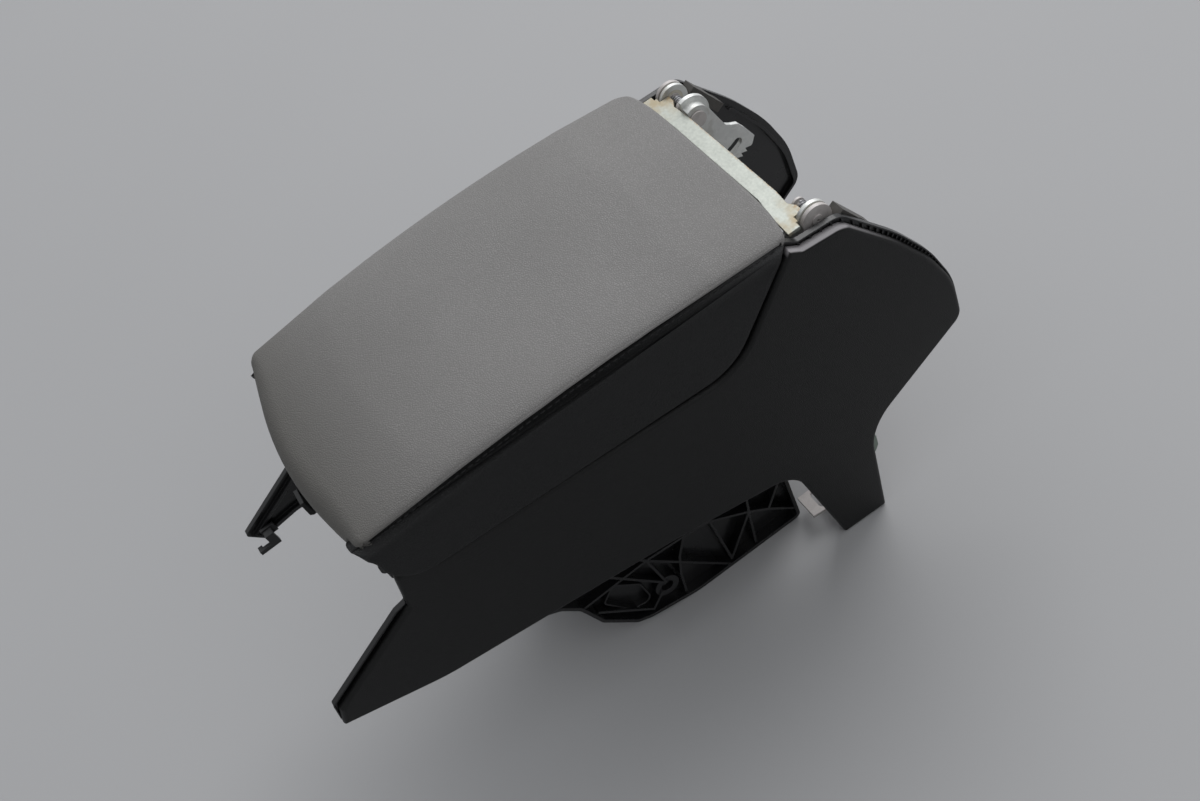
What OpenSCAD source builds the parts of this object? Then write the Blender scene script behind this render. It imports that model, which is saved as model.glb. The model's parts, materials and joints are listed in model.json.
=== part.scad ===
// Centre armrest of a car: a padded lid hinged over a ribbed storage bin,
// carried by two steel hinge brackets between two trim cheeks.
// X runs across the car (left side is +X), Y to the rear, Z up.
// The origin is on the floor plane, under the middle of the assembly.

/* [Pad] */
// Length of the pad along its side seam
pad_len = 274; // [255:1:300]
// Width of the pad over its side covers
pad_w = 174; // [164:1:184]
// How far the front edge bulges at the middle
pad_bulge = 14; // [6:1:20]
// How far the pad\'s rear edge bows out in the middle
pad_rear_bulge = 7.5; // [3:0.5:8]
// Rise of the crowned top above the side seam
pad_crown = 9; // [5:1:14]
// Depth of the side cover below the seam at the front
side_drop_front = 46; // [42:1:52]
// Depth of the side cover below the seam at the rear
side_drop_rear = 62; // [58:1:68]
// Thickness of the leather covers with their backing
cover_t = 2; // [1.5:0.1:3]
// Height of the side seam above the pivot axis
seam_rise = 11.5; // [10:0.5:14]
// Depth of the frame deck below the seam
deck_drop = 26; // [24:1:29]
// Thickness of the moulded pad frame and its skirt
frame_t = 3; // [2:0.5:4]
// Thickness of the bottom cover
bottom_t = 2.5; // [2:0.5:3]

/* [Hinge] */
// Height of the pivot axis above the floor
pivot_h = 260.5; // [250:0.5:275]
// Distance from the pad's rear seam corner back to the pivot
pivot_setback = 26.6; // [25:0.1:30]
// Radius of the pivot pins
pin_r = 4; // [3.5:0.1:4.5]
// Radial running clearance of the turning parts
run_gap = 0.05; // [0.03:0.01:0.08]
// Thickness of the stamped hinge plates
plate_t = 2.5; // [2:0.1:3]
// Radius of the round knuckle on each bracket
knuckle_r = 9.5; // [9:0.1:10.5]
// Distance from the pad's side in to the inner face of each bracket
bracket_inset = 12; // [11:0.5:16]
// Width of the crossbar strip
bar_w = 10.5; // [9:0.5:14]
// Thickness of the crossbar sheet
bar_t = 2.2; // [1.5:0.1:3]
// Largest opening angle of the lid
open_angle = 60; // [45:1:60]

/* [Ratchet] */
// Radius of the tooth tips about the pivot
tooth_r = 57; // [56:0.5:59]
// Depth of the saw teeth
tooth_depth = 3; // [2:0.5:3.5]
// Number of saw teeth
tooth_count = 5; // [3:1:5]
// Angle from tooth to tooth
tooth_pitch = 4.2; // [3.5:0.1:4.4]
// Radius of the arc slot about the pivot
slot_r = 45.5; // [44:0.5:46]
// Radius of the stop pin that runs in the slot
stop_pin_r = 2.6; // [2:0.1:3]
// Thickness of the ratchet sector and of the pawl
sector_t = 3; // [2.5:0.1:3.5]

/* [Cheeks] */
// How far each rear lobe stands out past the pad's side
lobe_proud = 3.5; // [2:0.5:8]
// Toe-in of each cheek towards the front, in degrees
toe_in = 1.4; // [1:0.05:1.8]
// Wall of the outer skin
skin_t = 2.5; // [2:0.1:3]
// Depth of the skin's turned rim
rim_depth = 5.5; // [5:0.1:6]
// Radius of the skin's rolled edge
edge_roll = 3; // [2:0.1:3.5]
// Wall of the inner carrier pan
pan_t = 2; // [1.5:0.1:2.2]
// Depth of the whole cheek
cheek_depth = 11; // [10:0.1:12]
// How far the carrier's flange stands out past the skin along the top
flange_reach = 4; // [2:0.5:5]
// Room kept behind the lobes where the part is centred along its length
end_room = 7.5; // [6:0.5:9]
// How far the carrier lip shows ahead of the skin's front edge
front_lip = 3.5; // [2:0.5:5]
// Gap between the pad's lower edge and the cheek
pad_gap = 3; // [2.5:0.1:4]
// Reach of the front tip ahead of the pad's side
tip_reach = 78; // [70:1:90]
// Reach of the rear lobe behind the pivot
lobe_reach = 62.7; // [58:0.5:68]
// Height of the front tip's lower corner
tip_h = 147.5; // [140:0.5:155]
// Height of the cheek's lower edge at its middle
belly_h = 106.5; // [100:0.5:115]
// Length of the leg's foot along the car
leg_w = 33.6; // [31:0.2:40]
// Distance from the leg's front edge back to the pivot
leg_setback = 55.7; // [54:0.1:60]

/* [Bin] */
// Distance from each bracket in to the bin's side wall
bin_side_gap = 28; // [26:0.5:34]
// Wall of the bin
bin_t = 2.5; // [2:0.1:3]
// Depth of the outside ribs
rib_depth = 8; // [6:0.5:9]
// Thickness of the ribs
rib_t = 1.8; // [1.4:0.1:2.5]
// Gap between the bin's top edge and the pad's lower edge line
bin_gap = 8; // [7:0.5:12]

/* [Feet] */
// Height of the steel mounting feet above the floor
foot_h = 12; // [9:0.5:16]
// Width of the foot slots
foot_slot_w = 8; // [6:0.5:9]
// Length of the foot slots
foot_slot_len = 16; // [12:0.5:18]
// Distance from each bracket in to the foot slot's centre
foot_slot_inset = 13; // [12:0.5:15]

/* [Fasteners] */
// Radius of the screw shanks
screw_r = 2; // [1.5:0.1:2.2]
// Radius of the screw heads
screw_head_r = 4; // [3.5:0.1:5]
// Height of the screw heads
screw_head_h = 2; // [1.5:0.1:2.5]
// Thickness of the spring clips' sheet
clip_t = 1.2; // [1:0.1:1.5]

/* [Hidden] */
$fn = 48;
overall_len = tip_reach + pad_len + pivot_setback + lobe_reach + end_room;
tip_y = -overall_len / 2;
pad_front_y = tip_y + tip_reach;
pad_rear_y = pad_front_y + pad_len;
pivot_y = pad_rear_y + pivot_setback;
lobe_y = pivot_y + lobe_reach;
seam_h = pivot_h + seam_rise;
half_w = pad_w / 2;
lobe_span = pad_w + 2 * lobe_proud;
bracket_x = half_w - bracket_inset;
bin_half_w = bracket_x - bin_side_gap;
foot_slot_x = bracket_x - foot_slot_inset;
low_front_h = seam_h - side_drop_front;
low_rear_h = seam_h - side_drop_rear;
slant_run = 51.5;
low_rear_y = pad_rear_y - slant_run;
swoop_r = 38;
heel_r = 40;
deck_h = seam_h - deck_drop;
low_slope = (low_rear_h - low_front_h) / (low_rear_y - pad_front_y);
leg_y = pivot_y - leg_setback;
seat_gap = 0.3;
eps = 0.01;
circle_step = 6;

// Points of outlines

function unit(v) = v / norm(v);
function wrap(list, i) = list[(i + len(list)) % len(list)];
function flat(p) = [p[0], p[1]];

// Arc of radius r that rounds the corner b between a and c, shortened where an edge is short
function corner_arc(a, b, c, r, n, share = 0.49) =
    let (u = unit(a - b), v = unit(c - b),
         half = acos(max(-1, min(1, u * v))) / 2,
         fit = share * min(norm(a - b), norm(c - b)) * tan(half),
         q = max(0.05, min(r, fit)),
         mid = b + unit(u + v) * q / sin(half),
         p = b + u * q / tan(half),
         e = b + v * q / tan(half),
         a0 = atan2(p[1] - mid[1], p[0] - mid[0]),
         a1 = atan2(e[1] - mid[1], e[0] - mid[0]),
         turn = (a1 - a0 + 540) % 360 - 180)
    [for (k = [0:n]) mid + q * [cos(a0 + turn * k / n), sin(a0 + turn * k / n)]];

// Closed outline from corners [y, z, radius]; an arc may take up to the given share of an edge
function rounded(pts, n = 6, share = 0.49) =
    [for (i = [0:len(pts) - 1])
        each corner_arc(flat(wrap(pts, i - 1)), flat(pts[i]), flat(wrap(pts, i + 1)), pts[i][2], n, share)];

// The same corners, moved inwards by d; the list runs counter-clockwise
function inset(pts, d) =
    [for (i = [0:len(pts) - 1])
        let (p = flat(pts[i]),
             s = unit(p - flat(wrap(pts, i - 1))),
             t = unit(flat(wrap(pts, i + 1)) - p),
             m = [-s[1], s[0]],
             n = [-t[1], t[0]],
             bend = s[0] * t[1] - s[1] * t[0],
             q = p + (m + n) * d / (1 + m * n))
        [q[0], q[1], max(0.1, pts[i][2] + (bend > 0 ? -d : d))]];

function polar(r, a) = [pivot_y + r * sin(a), pivot_h - r * cos(a)];
function arc_pts(r, a0, a1, n) = [for (k = [0:n]) polar(r, a0 + (a1 - a0) * k / n)];

// Solids from outlines

// Extrudes a [y, z] outline along X, from x0 to x1
module slab(x0, x1) {
    translate([x0, 0, 0]) rotate([90, 0, 90]) linear_extrude(x1 - x0) children();
}

module cyl_x(y, z, r, x0, x1) {
    translate([x0, y, z]) rotate([0, 90, 0]) cylinder(r = r, h = x1 - x0);
}

// Closed skin through rings that all have the same number of points
module loft(rings) {
    n = len(rings[0]);
    m = len(rings);
    sides = [for (k = [0:m - 2]) for (i = [0:n - 1])
        [k * n + i, (k + 1) * n + i, (k + 1) * n + (i + 1) % n, k * n + (i + 1) % n]];
    first = [for (i = [0:n - 1]) i];
    last = [for (i = [n - 1:-1:0]) (m - 1) * n + i];
    polyhedron(points = [for (r = rings) each r], faces = concat([first], sides, [last]), convexity = 8);
}

// The same for a thin band: each ring is an outer run and an inner run back, and the ends are closed in strips
module band_loft(rings) {
    n = len(rings[0]);
    m = len(rings);
    sides = [for (k = [0:m - 2]) for (i = [0:n - 1])
        [k * n + i, (k + 1) * n + i, (k + 1) * n + (i + 1) % n, k * n + (i + 1) % n]];
    first = [for (i = [0:n / 2 - 2]) [i, i + 1, n - 2 - i, n - 1 - i]];
    last = [for (f = first) [for (j = [3:-1:0]) (m - 1) * n + f[j]]];
    polyhedron(points = [for (r = rings) each r], faces = concat(first, sides, last), convexity = 8);
}

// Endless band whose last ring joins its first
module hoop(rings) {
    n = len(rings[0]);
    m = len(rings);
    sides = [for (k = [0:m - 1]) for (i = [0:n - 1])
        [k * n + i, (k + 1) % m * n + i, (k + 1) % m * n + (i + 1) % n, k * n + (i + 1) % n]];
    polyhedron(points = [for (r = rings) each r], faces = sides, convexity = 8);
}

// Coil of round wire about an axis along X
module coil(y, z, r, wire_r, x0, x1, turns) {
    steps = turns * 16;
    rings = [for (k = [0:steps])
        let (a = 360 * turns * k / steps, x = x0 + wire_r + (x1 - x0 - 2 * wire_r) * k / steps)
        [for (j = [0:7])
            let (b = 45 * j, q = r + wire_r * cos(b))
            [x + wire_r * sin(b), y + q * sin(a), z + q * cos(a)]]];
    loft([for (ring = rings) [for (j = [7:-1:0]) ring[j]]]);
}

module both_sides() {
    children();
    mirror([1, 0, 0]) children();
}

module side(s) {
    if (s > 0) children();
    else mirror([1, 0, 0]) children();
}

// Pad

// Corners of the pad's side below the seam, counter-clockwise, moved back by dy at the front
function pad_side(dy, top) = [
    [pad_front_y + dy, low_front_h, swoop_r],
    [low_rear_y, low_rear_h, heel_r],
    [pad_rear_y, top, 1],
    [pad_front_y + dy, top, 1]
];

function crown(t) = pad_crown * max(0.05, sqrt(max(0, 1 - pow(abs(t), 4))));
function bulge(t) = -pad_bulge * (1 - t * t);
function rear_bulge(t) = pad_rear_bulge * (1 - pow(abs(t), 4));

// Outline of the pad at the fraction t of its half width: d is the depth under the surface
function pad_profile(t, d) =
    let (f = pad_front_y + bulge(t) + d,
         r = pad_rear_y + rear_bulge(t) - d,
         top = seam_h + cover_t - d + crown(t),
         edge = seam_h + cover_t - d + 0.45 * crown(t),
         fall = crown(t) / pad_crown)
    [[r, edge, 5], [pad_rear_y - 45, top, 120], [f + 60, top, 120], [f, edge, 2 + 14 * fall]];

stations = [-1, -0.985, -0.95, -0.9, -0.8, -0.6, -0.3, 0, 0.3, 0.6, 0.8, 0.9, 0.95, 0.985, 1];

// Band of the top cover, from its front lip over the top to its rear lip
lip_front = 26;
lip_rear = 8;
swoop_h = low_front_h + low_slope * swoop_r + swoop_r * sqrt(1 + low_slope * low_slope);

// Points of the rounded front below the seam, d inside the surface, from angle a0 to a1
function swoop(t, d, a0, a1, n) =
    [for (k = [0:n])
        let (a = a0 + (a1 - a0) * k / n)
        [pad_front_y + bulge(t) + swoop_r + (swoop_r - d) * cos(a), swoop_h + (swoop_r - d) * sin(a)]];
function swoop_angle(h, d) = 180 + asin((swoop_h - h) / (swoop_r - d));

module pad_top_cover() {
    lip_front_h = seam_h - lip_front;
    function run(t, d) =
        let (p = pad_profile(t, d), n = 6,
             c = [for (q = p) flat(q)],
             rear_low = c[0] - [lip_rear * 0.6, lip_rear],
             front_low = [c[3][0], swoop_h])
        concat([rear_low],
               corner_arc(rear_low, c[0], c[1], p[0][2], n),
               corner_arc(c[0], c[1], c[2], p[1][2], n),
               corner_arc(c[1], c[2], c[3], p[2][2], n),
               corner_arc(c[2], c[3], front_low, p[3][2], n),
               swoop(t, d, 180, swoop_angle(lip_front_h, d), n));
    rings = [for (t = stations)
        let (outer = run(t, 0), inner = run(t, cover_t), m = len(inner))
        [for (p = concat(outer, [for (i = [m - 1:-1:0]) inner[i]])) [t * half_w, p[0], p[1]]]];
    color("gray") band_loft(rings);
}

module pad_side_cover(s) {
    shape = rounded([
        [pad_front_y + cover_t + seat_gap, low_front_h, swoop_r],
        [low_rear_y, low_rear_h, heel_r],
        [pad_rear_y - cover_t - seat_gap - (lip_rear + 2) * 0.6, seam_h - lip_rear - 2, 1],
        [pad_rear_y - cover_t - seat_gap, seam_h - seat_gap, 0.5],
        [pad_front_y + cover_t + seat_gap, seam_h - seat_gap, 0.5]], 8, 0.82);
    color("#242424") side(s) slab(half_w - cover_t, half_w) polygon(shape);
}
module pad_side_cover_left() { pad_side_cover(1); }
module pad_side_cover_right() { pad_side_cover(-1); }

// Point of the slanted rear underside at height h, d inside the surface
slant = (pad_rear_y - low_rear_y) / (seam_h - low_rear_h);
function slant_y(h, d) = low_rear_y + (h - low_rear_h) * slant - d * sqrt(1 + slant * slant);

under_d = 1.5 + bottom_t;
inner_half_w = half_w - cover_t - seat_gap;
module pad_foam() {
    d = cover_t + seat_gap;
    rings = [for (t = stations)
        let (p = pad_profile(t, d),
             c = [for (q = p) flat(q)],
             base_front = [swoop(t, d, swoop_angle(deck_h, d), 180, 1)[0][0], deck_h + eps],
             base_rear = [slant_y(deck_h, under_d + 0.5), deck_h + eps],
             rear_low = [slant_y(seam_h - 4, under_d + 0.5), seam_h - 4])
        [for (q = rounded([concat(base_front, [0.5]), concat(base_rear, [0.5]), concat(rear_low, [0.5]),
                           concat([min(c[0][0], rear_low[0] + 4), c[0][1]], [2]),
                           p[1], p[2], p[3]], 5))
            [t * inner_half_w, q[0], q[1]]]];
    color("khaki") loft(rings);
}

// Lower edge of the pad at the fraction t, d inside the surface, from front to rear
function low_edge(t, d, front_h, rear_h) =
    let (b = [pad_front_y + swoop_r, low_front_h + low_slope * swoop_r + d],
         c = [low_rear_y - d * 0.45, low_rear_h + d],
         e = [slant_y(rear_h, d), rear_h])
    concat(swoop(t, d, swoop_angle(front_h, d), 270 + atan(low_slope), 7),
           corner_arc(b, c, e, heel_r - d, 7), [e]);

// Moulded deck with a skirt that meets the bottom cover
lever_window = 30;
arm_x = bracket_x - 1.5;
arm_slot = 1;
module pad_frame() {
    half = inner_half_w - seat_gap;
    deck_front = pad_front_y + cover_t + 6;
    deck_rear = slant_y(deck_h, under_d + frame_t);
    function plan(d) = concat(
        [for (k = [-8:8]) let (t = k / 8) [t * (half - d), deck_front + bulge(t) + d]],
        [[half - d, deck_rear - d], [-half + d, deck_rear - d]]);
    under = low_edge(1, under_d + 0.2, deck_h, deck_h);
    ear_x = lever_ear_x;
    color("#1c1c1c") difference() {
        union() {
            translate([0, 0, deck_h - frame_t]) linear_extrude(frame_t) polygon(plan(0));
            intersection() {
                translate([0, 0, deck_h - side_drop_rear])
                    linear_extrude(side_drop_rear) difference() {
                        polygon(plan(0));
                        polygon(plan(frame_t));
                    }
                slab(-half, half) polygon(concat(under, [[deck_rear + 20, deck_h]]));
            }
            both_sides() {
                slab(ear_x, ear_x + frame_t) {
                    translate([lever_y, lever_z]) circle(r = 5);
                    translate([lever_y - 5, lever_z]) square([10, deck_h - frame_t + eps - lever_z]);
                }
                for (y = frame_screw_y) {
                    translate([frame_screw_x, y, deck_h - frame_t - 4])
                        cylinder(r = screw_head_r, h = 4 + eps);
                }
            }
        }
        both_sides() {
            for (y = frame_screw_y) {
                translate([frame_screw_x, y, deck_h - frame_t - 5])
                    cylinder(r = screw_r + run_gap, h = 7.5);
            }
            translate([arm_x - plate_t - arm_slot, low_rear_y - 30, deck_h - side_drop_rear])
                cube([plate_t + 2 * arm_slot, 90, side_drop_rear - frame_t]);
        }
        cyl_x(lever_y, lever_z, lever_pin_r, -50, 50);
        translate([-lever_window, deck_front - 20, deck_h - side_drop_rear])
            cube([2 * lever_window, 20 + frame_t + 2, side_drop_rear - frame_t]);
        translate([sector_x - arm_slot, low_rear_y - 10, deck_h - side_drop_rear])
            cube([sector_t + 2 * arm_slot, 70, side_drop_rear - frame_t]);
    }
}

module pad_bottom_cover() {
    front_h = seam_h - lip_front - 3;
    rear_h = seam_h - lip_rear - 4;
    picks = [-1, -0.8, -0.6, -0.3, 0, 0.3, 0.6, 0.8, 1];
    rings = [for (t = picks)
        let (outer = low_edge(t, 1.5, front_h, rear_h),
             inner = low_edge(t, under_d, front_h, rear_h),
             m = len(inner))
        [for (p = concat(outer, [for (i = [m - 1:-1:0]) inner[i]])) [t * inner_half_w, p[0], p[1]]]];
    window_y = pad_front_y - pad_bulge;
    color("#202020") difference() {
        band_loft(rings);
        both_sides()
            translate([arm_x - plate_t - arm_slot, low_rear_y - 16, low_rear_h - 10])
                cube([plate_t + 2 * arm_slot, 80, side_drop_rear]);
        translate([sector_x - arm_slot, low_rear_y + 6, low_rear_h - 10])
            cube([sector_t + 2 * arm_slot, 60, side_drop_rear]);
        translate([-lever_window, window_y - 5, low_rear_h - 10])
            cube([2 * lever_window, lever_y + 9 - window_y, side_drop_rear]);
    }
}

// Release lever under the front edge

lever_pin_r = 1.5;
lever_y = pad_front_y + 8.5;
lever_z = low_front_h + 12;
lever_ear_x = 24;
lever_half = lever_ear_x - 0.3;
tab_half = 6;
catch_y = pad_front_y + 8;
catch_h = low_front_h - 20;

module release_lever() {
    lip_y = pad_front_y - pad_bulge - 5;
    blade_y = lip_y + 8;
    nose_y = catch_y - 4 - 0.4;
    color("#1e1e1e") difference() {
        union() {
            cyl_x(lever_y, lever_z, 4, -lever_half, lever_half);
            slab(-lever_half, lever_half) polygon([
                [lever_y - 1, lever_z - 3.9], [lever_y + 1, lever_z - 3.9], [lever_y + 1, lever_z - 6.2],
                [lever_y - 8, lever_z - 7.5], [blade_y, lever_z - 8], [blade_y, lever_z - 5],
                [lever_y - 6, lever_z - 4.5], [lever_y - 3, lever_z - 2]]);
            slab(-tab_half, tab_half) polygon([
                [lever_y - 1, lever_z - 3.9], [lever_y + 1, lever_z - 3.9], [lever_y + 1, lever_z - 6.2],
                [lever_y - 8, lever_z - 7.5], [lip_y + 2, lever_z - 9], [lip_y, lever_z - 7.5],
                [lip_y, lever_z + 4], [lip_y + 2.5, lever_z + 4], [lip_y + 3, lever_z - 6],
                [lever_y - 6, lever_z - 4.5], [lever_y - 3, lever_z - 2]]);
            slab(-7, 7) polygon([
                [lever_y - 6.5, lever_z - 4], [nose_y - 5, catch_h - 7], [nose_y, catch_h - 7],
                [nose_y, catch_h - 3], [nose_y - 2, catch_h - 0.5], [lever_y - 2, lever_z - 4]]);
        }
        cyl_x(lever_y, lever_z, lever_pin_r + run_gap, -lever_half - 1, lever_half + 1);
        for (x = [-12, 12]) {
            translate([x - 3, lever_y - 5, lever_z - 3.2]) cube([6, 10, 9]);
        }
    }
}

module lever_pin() {
    reach = lever_ear_x + frame_t;
    color("silver") {
        cyl_x(lever_y, lever_z, lever_pin_r, -reach, reach);
        both_sides() cyl_x(lever_y, lever_z, lever_pin_r + 1, reach, reach + 1);
    }
}

module lever_spring() {
    for (x = [-12, 12]) {
        color("silver") coil(lever_y, lever_z, lever_pin_r + 0.95, 0.5, x - 2.6, x + 2.6, 4);
    }
}

// Steel catch with a forward lip, on the front wall of the bin
module catch_plate() {
    back = bin_front_y;
    color("silver") slab(-14, 14) polygon([
        [back - plate_t, catch_h - 22], [back, catch_h - 22], [back, catch_h + 2],
        [back - 4, catch_h + 2], [back - 4, catch_h], [back - plate_t, catch_h - 1]]);
}

// Hinge arms and crossbar, which swing with the pad

bar_h = pivot_h + 3;
bar_rear_y = pivot_y - 4.8;
bar_front_y = bar_rear_y - bar_w;
arm_flange_x = bracket_x - 17;
frame_screw_x = bracket_x - 10;
frame_screw_y = [low_rear_y - 28, low_rear_y - 70];
arm_front_y = low_rear_y - 86;
arm_top_h = deck_h - frame_t - 4;
eye_r = 9.5;
bush_wall = 2;

module hinge_arm(s) {
    outline = [
        [arm_front_y, arm_top_h - 14], [low_rear_y - 8, low_rear_h + 13], [low_rear_y + 34, pivot_h - 29],
        [pivot_y - 6, pivot_h - 8], [pivot_y + 2, pivot_h], [pivot_y - 3, bar_h],
        [bar_front_y, bar_h], [low_rear_y + 26, arm_top_h + 3], [low_rear_y + 18, arm_top_h],
        [arm_front_y, arm_top_h]];
    color("gainsboro") side(s) difference() {
        union() {
            slab(arm_x - plate_t, arm_x) polygon(outline);
            cyl_x(pivot_y, pivot_h, eye_r, arm_x - plate_t, arm_x);
            translate([arm_flange_x, arm_front_y, arm_top_h - plate_t])
                cube([arm_x - arm_flange_x, low_rear_y - 12 - arm_front_y, plate_t]);
        }
        cyl_x(pivot_y, pivot_h, pin_r + bush_wall, arm_x - plate_t - 1, arm_x + 1);
        for (y = frame_screw_y) {
            translate([frame_screw_x, y, arm_top_h - plate_t - 1])
                cylinder(r = screw_r + run_gap, h = plate_t + 2);
        }
        cyl_x(low_rear_y - 44, arm_top_h - 8, 3, arm_x - plate_t - 1, arm_x + 1);
    }
}
module hinge_arm_left() { hinge_arm(1); }
module hinge_arm_right() { hinge_arm(-1); }

// Pan-head screws up into the pad frame
module frame_screws() {
    seat = arm_top_h - plate_t;
    color("silver") both_sides() for (y = frame_screw_y) {
        translate([frame_screw_x, y, seat]) cylinder(r = screw_r, h = 8);
        translate([frame_screw_x, y, seat - screw_head_h]) cylinder(r = screw_head_r, h = screw_head_h);
    }
}

// Stamped strip with flared, notched ends and a turned-down front edge
module crossbar() {
    wing_x = arm_x - 10;
    end_x = arm_x + 1;
    tip_x = bracket_x + 3.5;
    knuckle_y = pivot_y - knuckle_r - 1.5;
    eye_y = pivot_y - eye_r;
    wing_y = pivot_y - 0.8 * pin_r;
    half_plan = [
        [0, bar_front_y], [arm_x - 29, bar_front_y], [wing_x - 2, bar_front_y - 2.5],
        [tip_x, bar_front_y - 3.5], [tip_x, knuckle_y], [end_x, knuckle_y], [end_x, eye_y],
        [arm_x - 3.2, eye_y], [arm_x - 3.2, wing_y], [wing_x + 1, wing_y],
        [wing_x - 4, bar_rear_y - 1.2], [arm_x - 27, bar_rear_y], [0, bar_rear_y]];
    flange_h = 8;
    color("ivory") both_sides() {
        translate([0, 0, bar_h]) linear_extrude(bar_t) polygon(half_plan);
        translate([0, bar_front_y, bar_h - flange_h]) cube([arm_x - plate_t - 0.5, bar_t, flange_h + eps]);
    }
}

// Ratchet sector, arc-slotted and toothed, with its hub on the right-hand pivot pin

sector_x = -(bracket_x - 21.5);
pin_angle = 33;
hub_len = 6;
root_r = tooth_r - tooth_depth;
first_tooth = 30;

module ratchet_sector() {
    last_tooth = first_tooth - tooth_count * tooth_pitch;
    rear_end = first_tooth + 1;
    front_end = -(pin_angle + 13);
    teeth = [for (k = [0:tooth_count - 1]) each
        [polar(root_r, last_tooth + (k + 0.1) * tooth_pitch),
         polar(tooth_r, last_tooth + (k + 0.9) * tooth_pitch)]];
    body = concat(
        [[pivot_y - 11, pivot_h - 3]],
        [polar(slot_r - 8, front_end)],
        arc_pts(root_r, front_end, last_tooth, 16),
        teeth,
        [polar(tooth_r, rear_end), [pivot_y + 32.5, pivot_h - 44], [pivot_y + 28.5, pivot_h - 34.5],
         [pivot_y + 25, pivot_h - 28], [pivot_y + 20.5, pivot_h - 25.5], [pivot_y + 17.5, pivot_h - 23],
         [pivot_y + 16, pivot_h - 19], [pivot_y + 9, pivot_h + 3]]);
    slot_w = stop_pin_r + 0.4;
    slot_end = open_angle - pin_angle;
    slot = concat(arc_pts(slot_r + slot_w, -pin_angle, slot_end, 20),
                  arc_pts(slot_r - slot_w, slot_end, -pin_angle, 20));
    weld = [[bar_front_y + bar_t, bar_h], [bar_front_y + bar_t, bar_h - 7],
            [pivot_y - 8, pivot_h - 14], [pivot_y, pivot_h], [bar_rear_y, bar_h]];
    color("silver") difference() {
        union() {
            slab(sector_x, sector_x + sector_t) polygon(body);
            slab(sector_x, sector_x + sector_t) polygon(weld);
            cyl_x(pivot_y, pivot_h, 12, sector_x, sector_x + sector_t);
            cyl_x(pivot_y, pivot_h, 8.5, sector_x, sector_x + sector_t + hub_len);
        }
        cyl_x(pivot_y, pivot_h, pin_r + run_gap, sector_x - 1, sector_x + sector_t + hub_len + 1);
        slab(sector_x - 1, sector_x + sector_t + 1) {
            polygon(slot);
            for (a = [-pin_angle, slot_end]) translate(polar(slot_r, a)) circle(r = slot_w);
        }
        translate([sector_x - 1, bar_front_y - 20, bar_h])
            cube([sector_t + hub_len + 2, bar_rear_y + 20.2 - bar_front_y, 20]);
    }
}

// Plain bush pressed into each arm's eye, with a thrust flange to the bracket
module pivot_bush(s) {
    color("beige") side(s) difference() {
        union() {
            cyl_x(pivot_y, pivot_h, pin_r + bush_wall, arm_x - plate_t, arm_x);
            cyl_x(pivot_y, pivot_h, eye_r - 1.5, arm_x, bracket_x - 0.1);
        }
        cyl_x(pivot_y, pivot_h, pin_r + run_gap, arm_x - plate_t - 1, bracket_x + 1);
    }
}
module pivot_bush_left() { pivot_bush(1); }
module pivot_bush_right() { pivot_bush(-1); }

// Shouldered rivet through the bracket; it carries the arm, the spring and, on the right, the ratchet
rivet_r = 2.4;
spring_x = bracket_x - 13.8;
spring_end_x = arm_x - plate_t - 0.8;
neck_r = pin_r * 0.55;
spring_wire = (pin_r - neck_r - seat_gap) / 2;
module pivot_pin(s, inner_x) {
    color("dimgray") side(s) difference() {
        union() {
            cyl_x(pivot_y, pivot_h, pin_r, spring_end_x + 0.3, bracket_x);
            cyl_x(pivot_y, pivot_h, neck_r, inner_x, bracket_x);
            if (inner_x < spring_x - 2) cyl_x(pivot_y, pivot_h, pin_r, inner_x, spring_x - 0.3);
            cyl_x(pivot_y, pivot_h, rivet_r, bracket_x - eps, bracket_x + plate_t + eps);
            cyl_x(pivot_y, pivot_h, rivet_r + 1, bracket_x + plate_t, bracket_x + plate_t + 0.8);
            cyl_x(pivot_y, pivot_h, inner_x < spring_x - 2 ? pin_r + 1.4 : pin_r, inner_x - 1.5, inner_x);
        }
        cyl_x(pivot_y, pivot_h, 0.8, bracket_x + plate_t - 1, bracket_x + plate_t + 2);
    }
}
module pivot_pin_left() { pivot_pin(1, spring_x - 1); }
module pivot_pin_right() { pivot_pin(-1, -(sector_x + sector_t + hub_len + 0.3)); }

module lift_spring(s) {
    color("dimgray") side(s)
        coil(pivot_y, pivot_h, pin_r - seat_gap / 2 - spring_wire, spring_wire, spring_x, spring_end_x, 4);
}
module lift_spring_left() { lift_spring(1); }
module lift_spring_right() { lift_spring(-1); }

// Fixed ratchet plate, stop pin and pawl

ratchet_plate_x = -(bracket_x - 14.8);
pawl_pin_r = 2.5;
pawl_pin_at = [pivot_y - 22.6, pivot_h - tooth_r - 5];
plate_low_h = pawl_pin_at[1] - 13;

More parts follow.
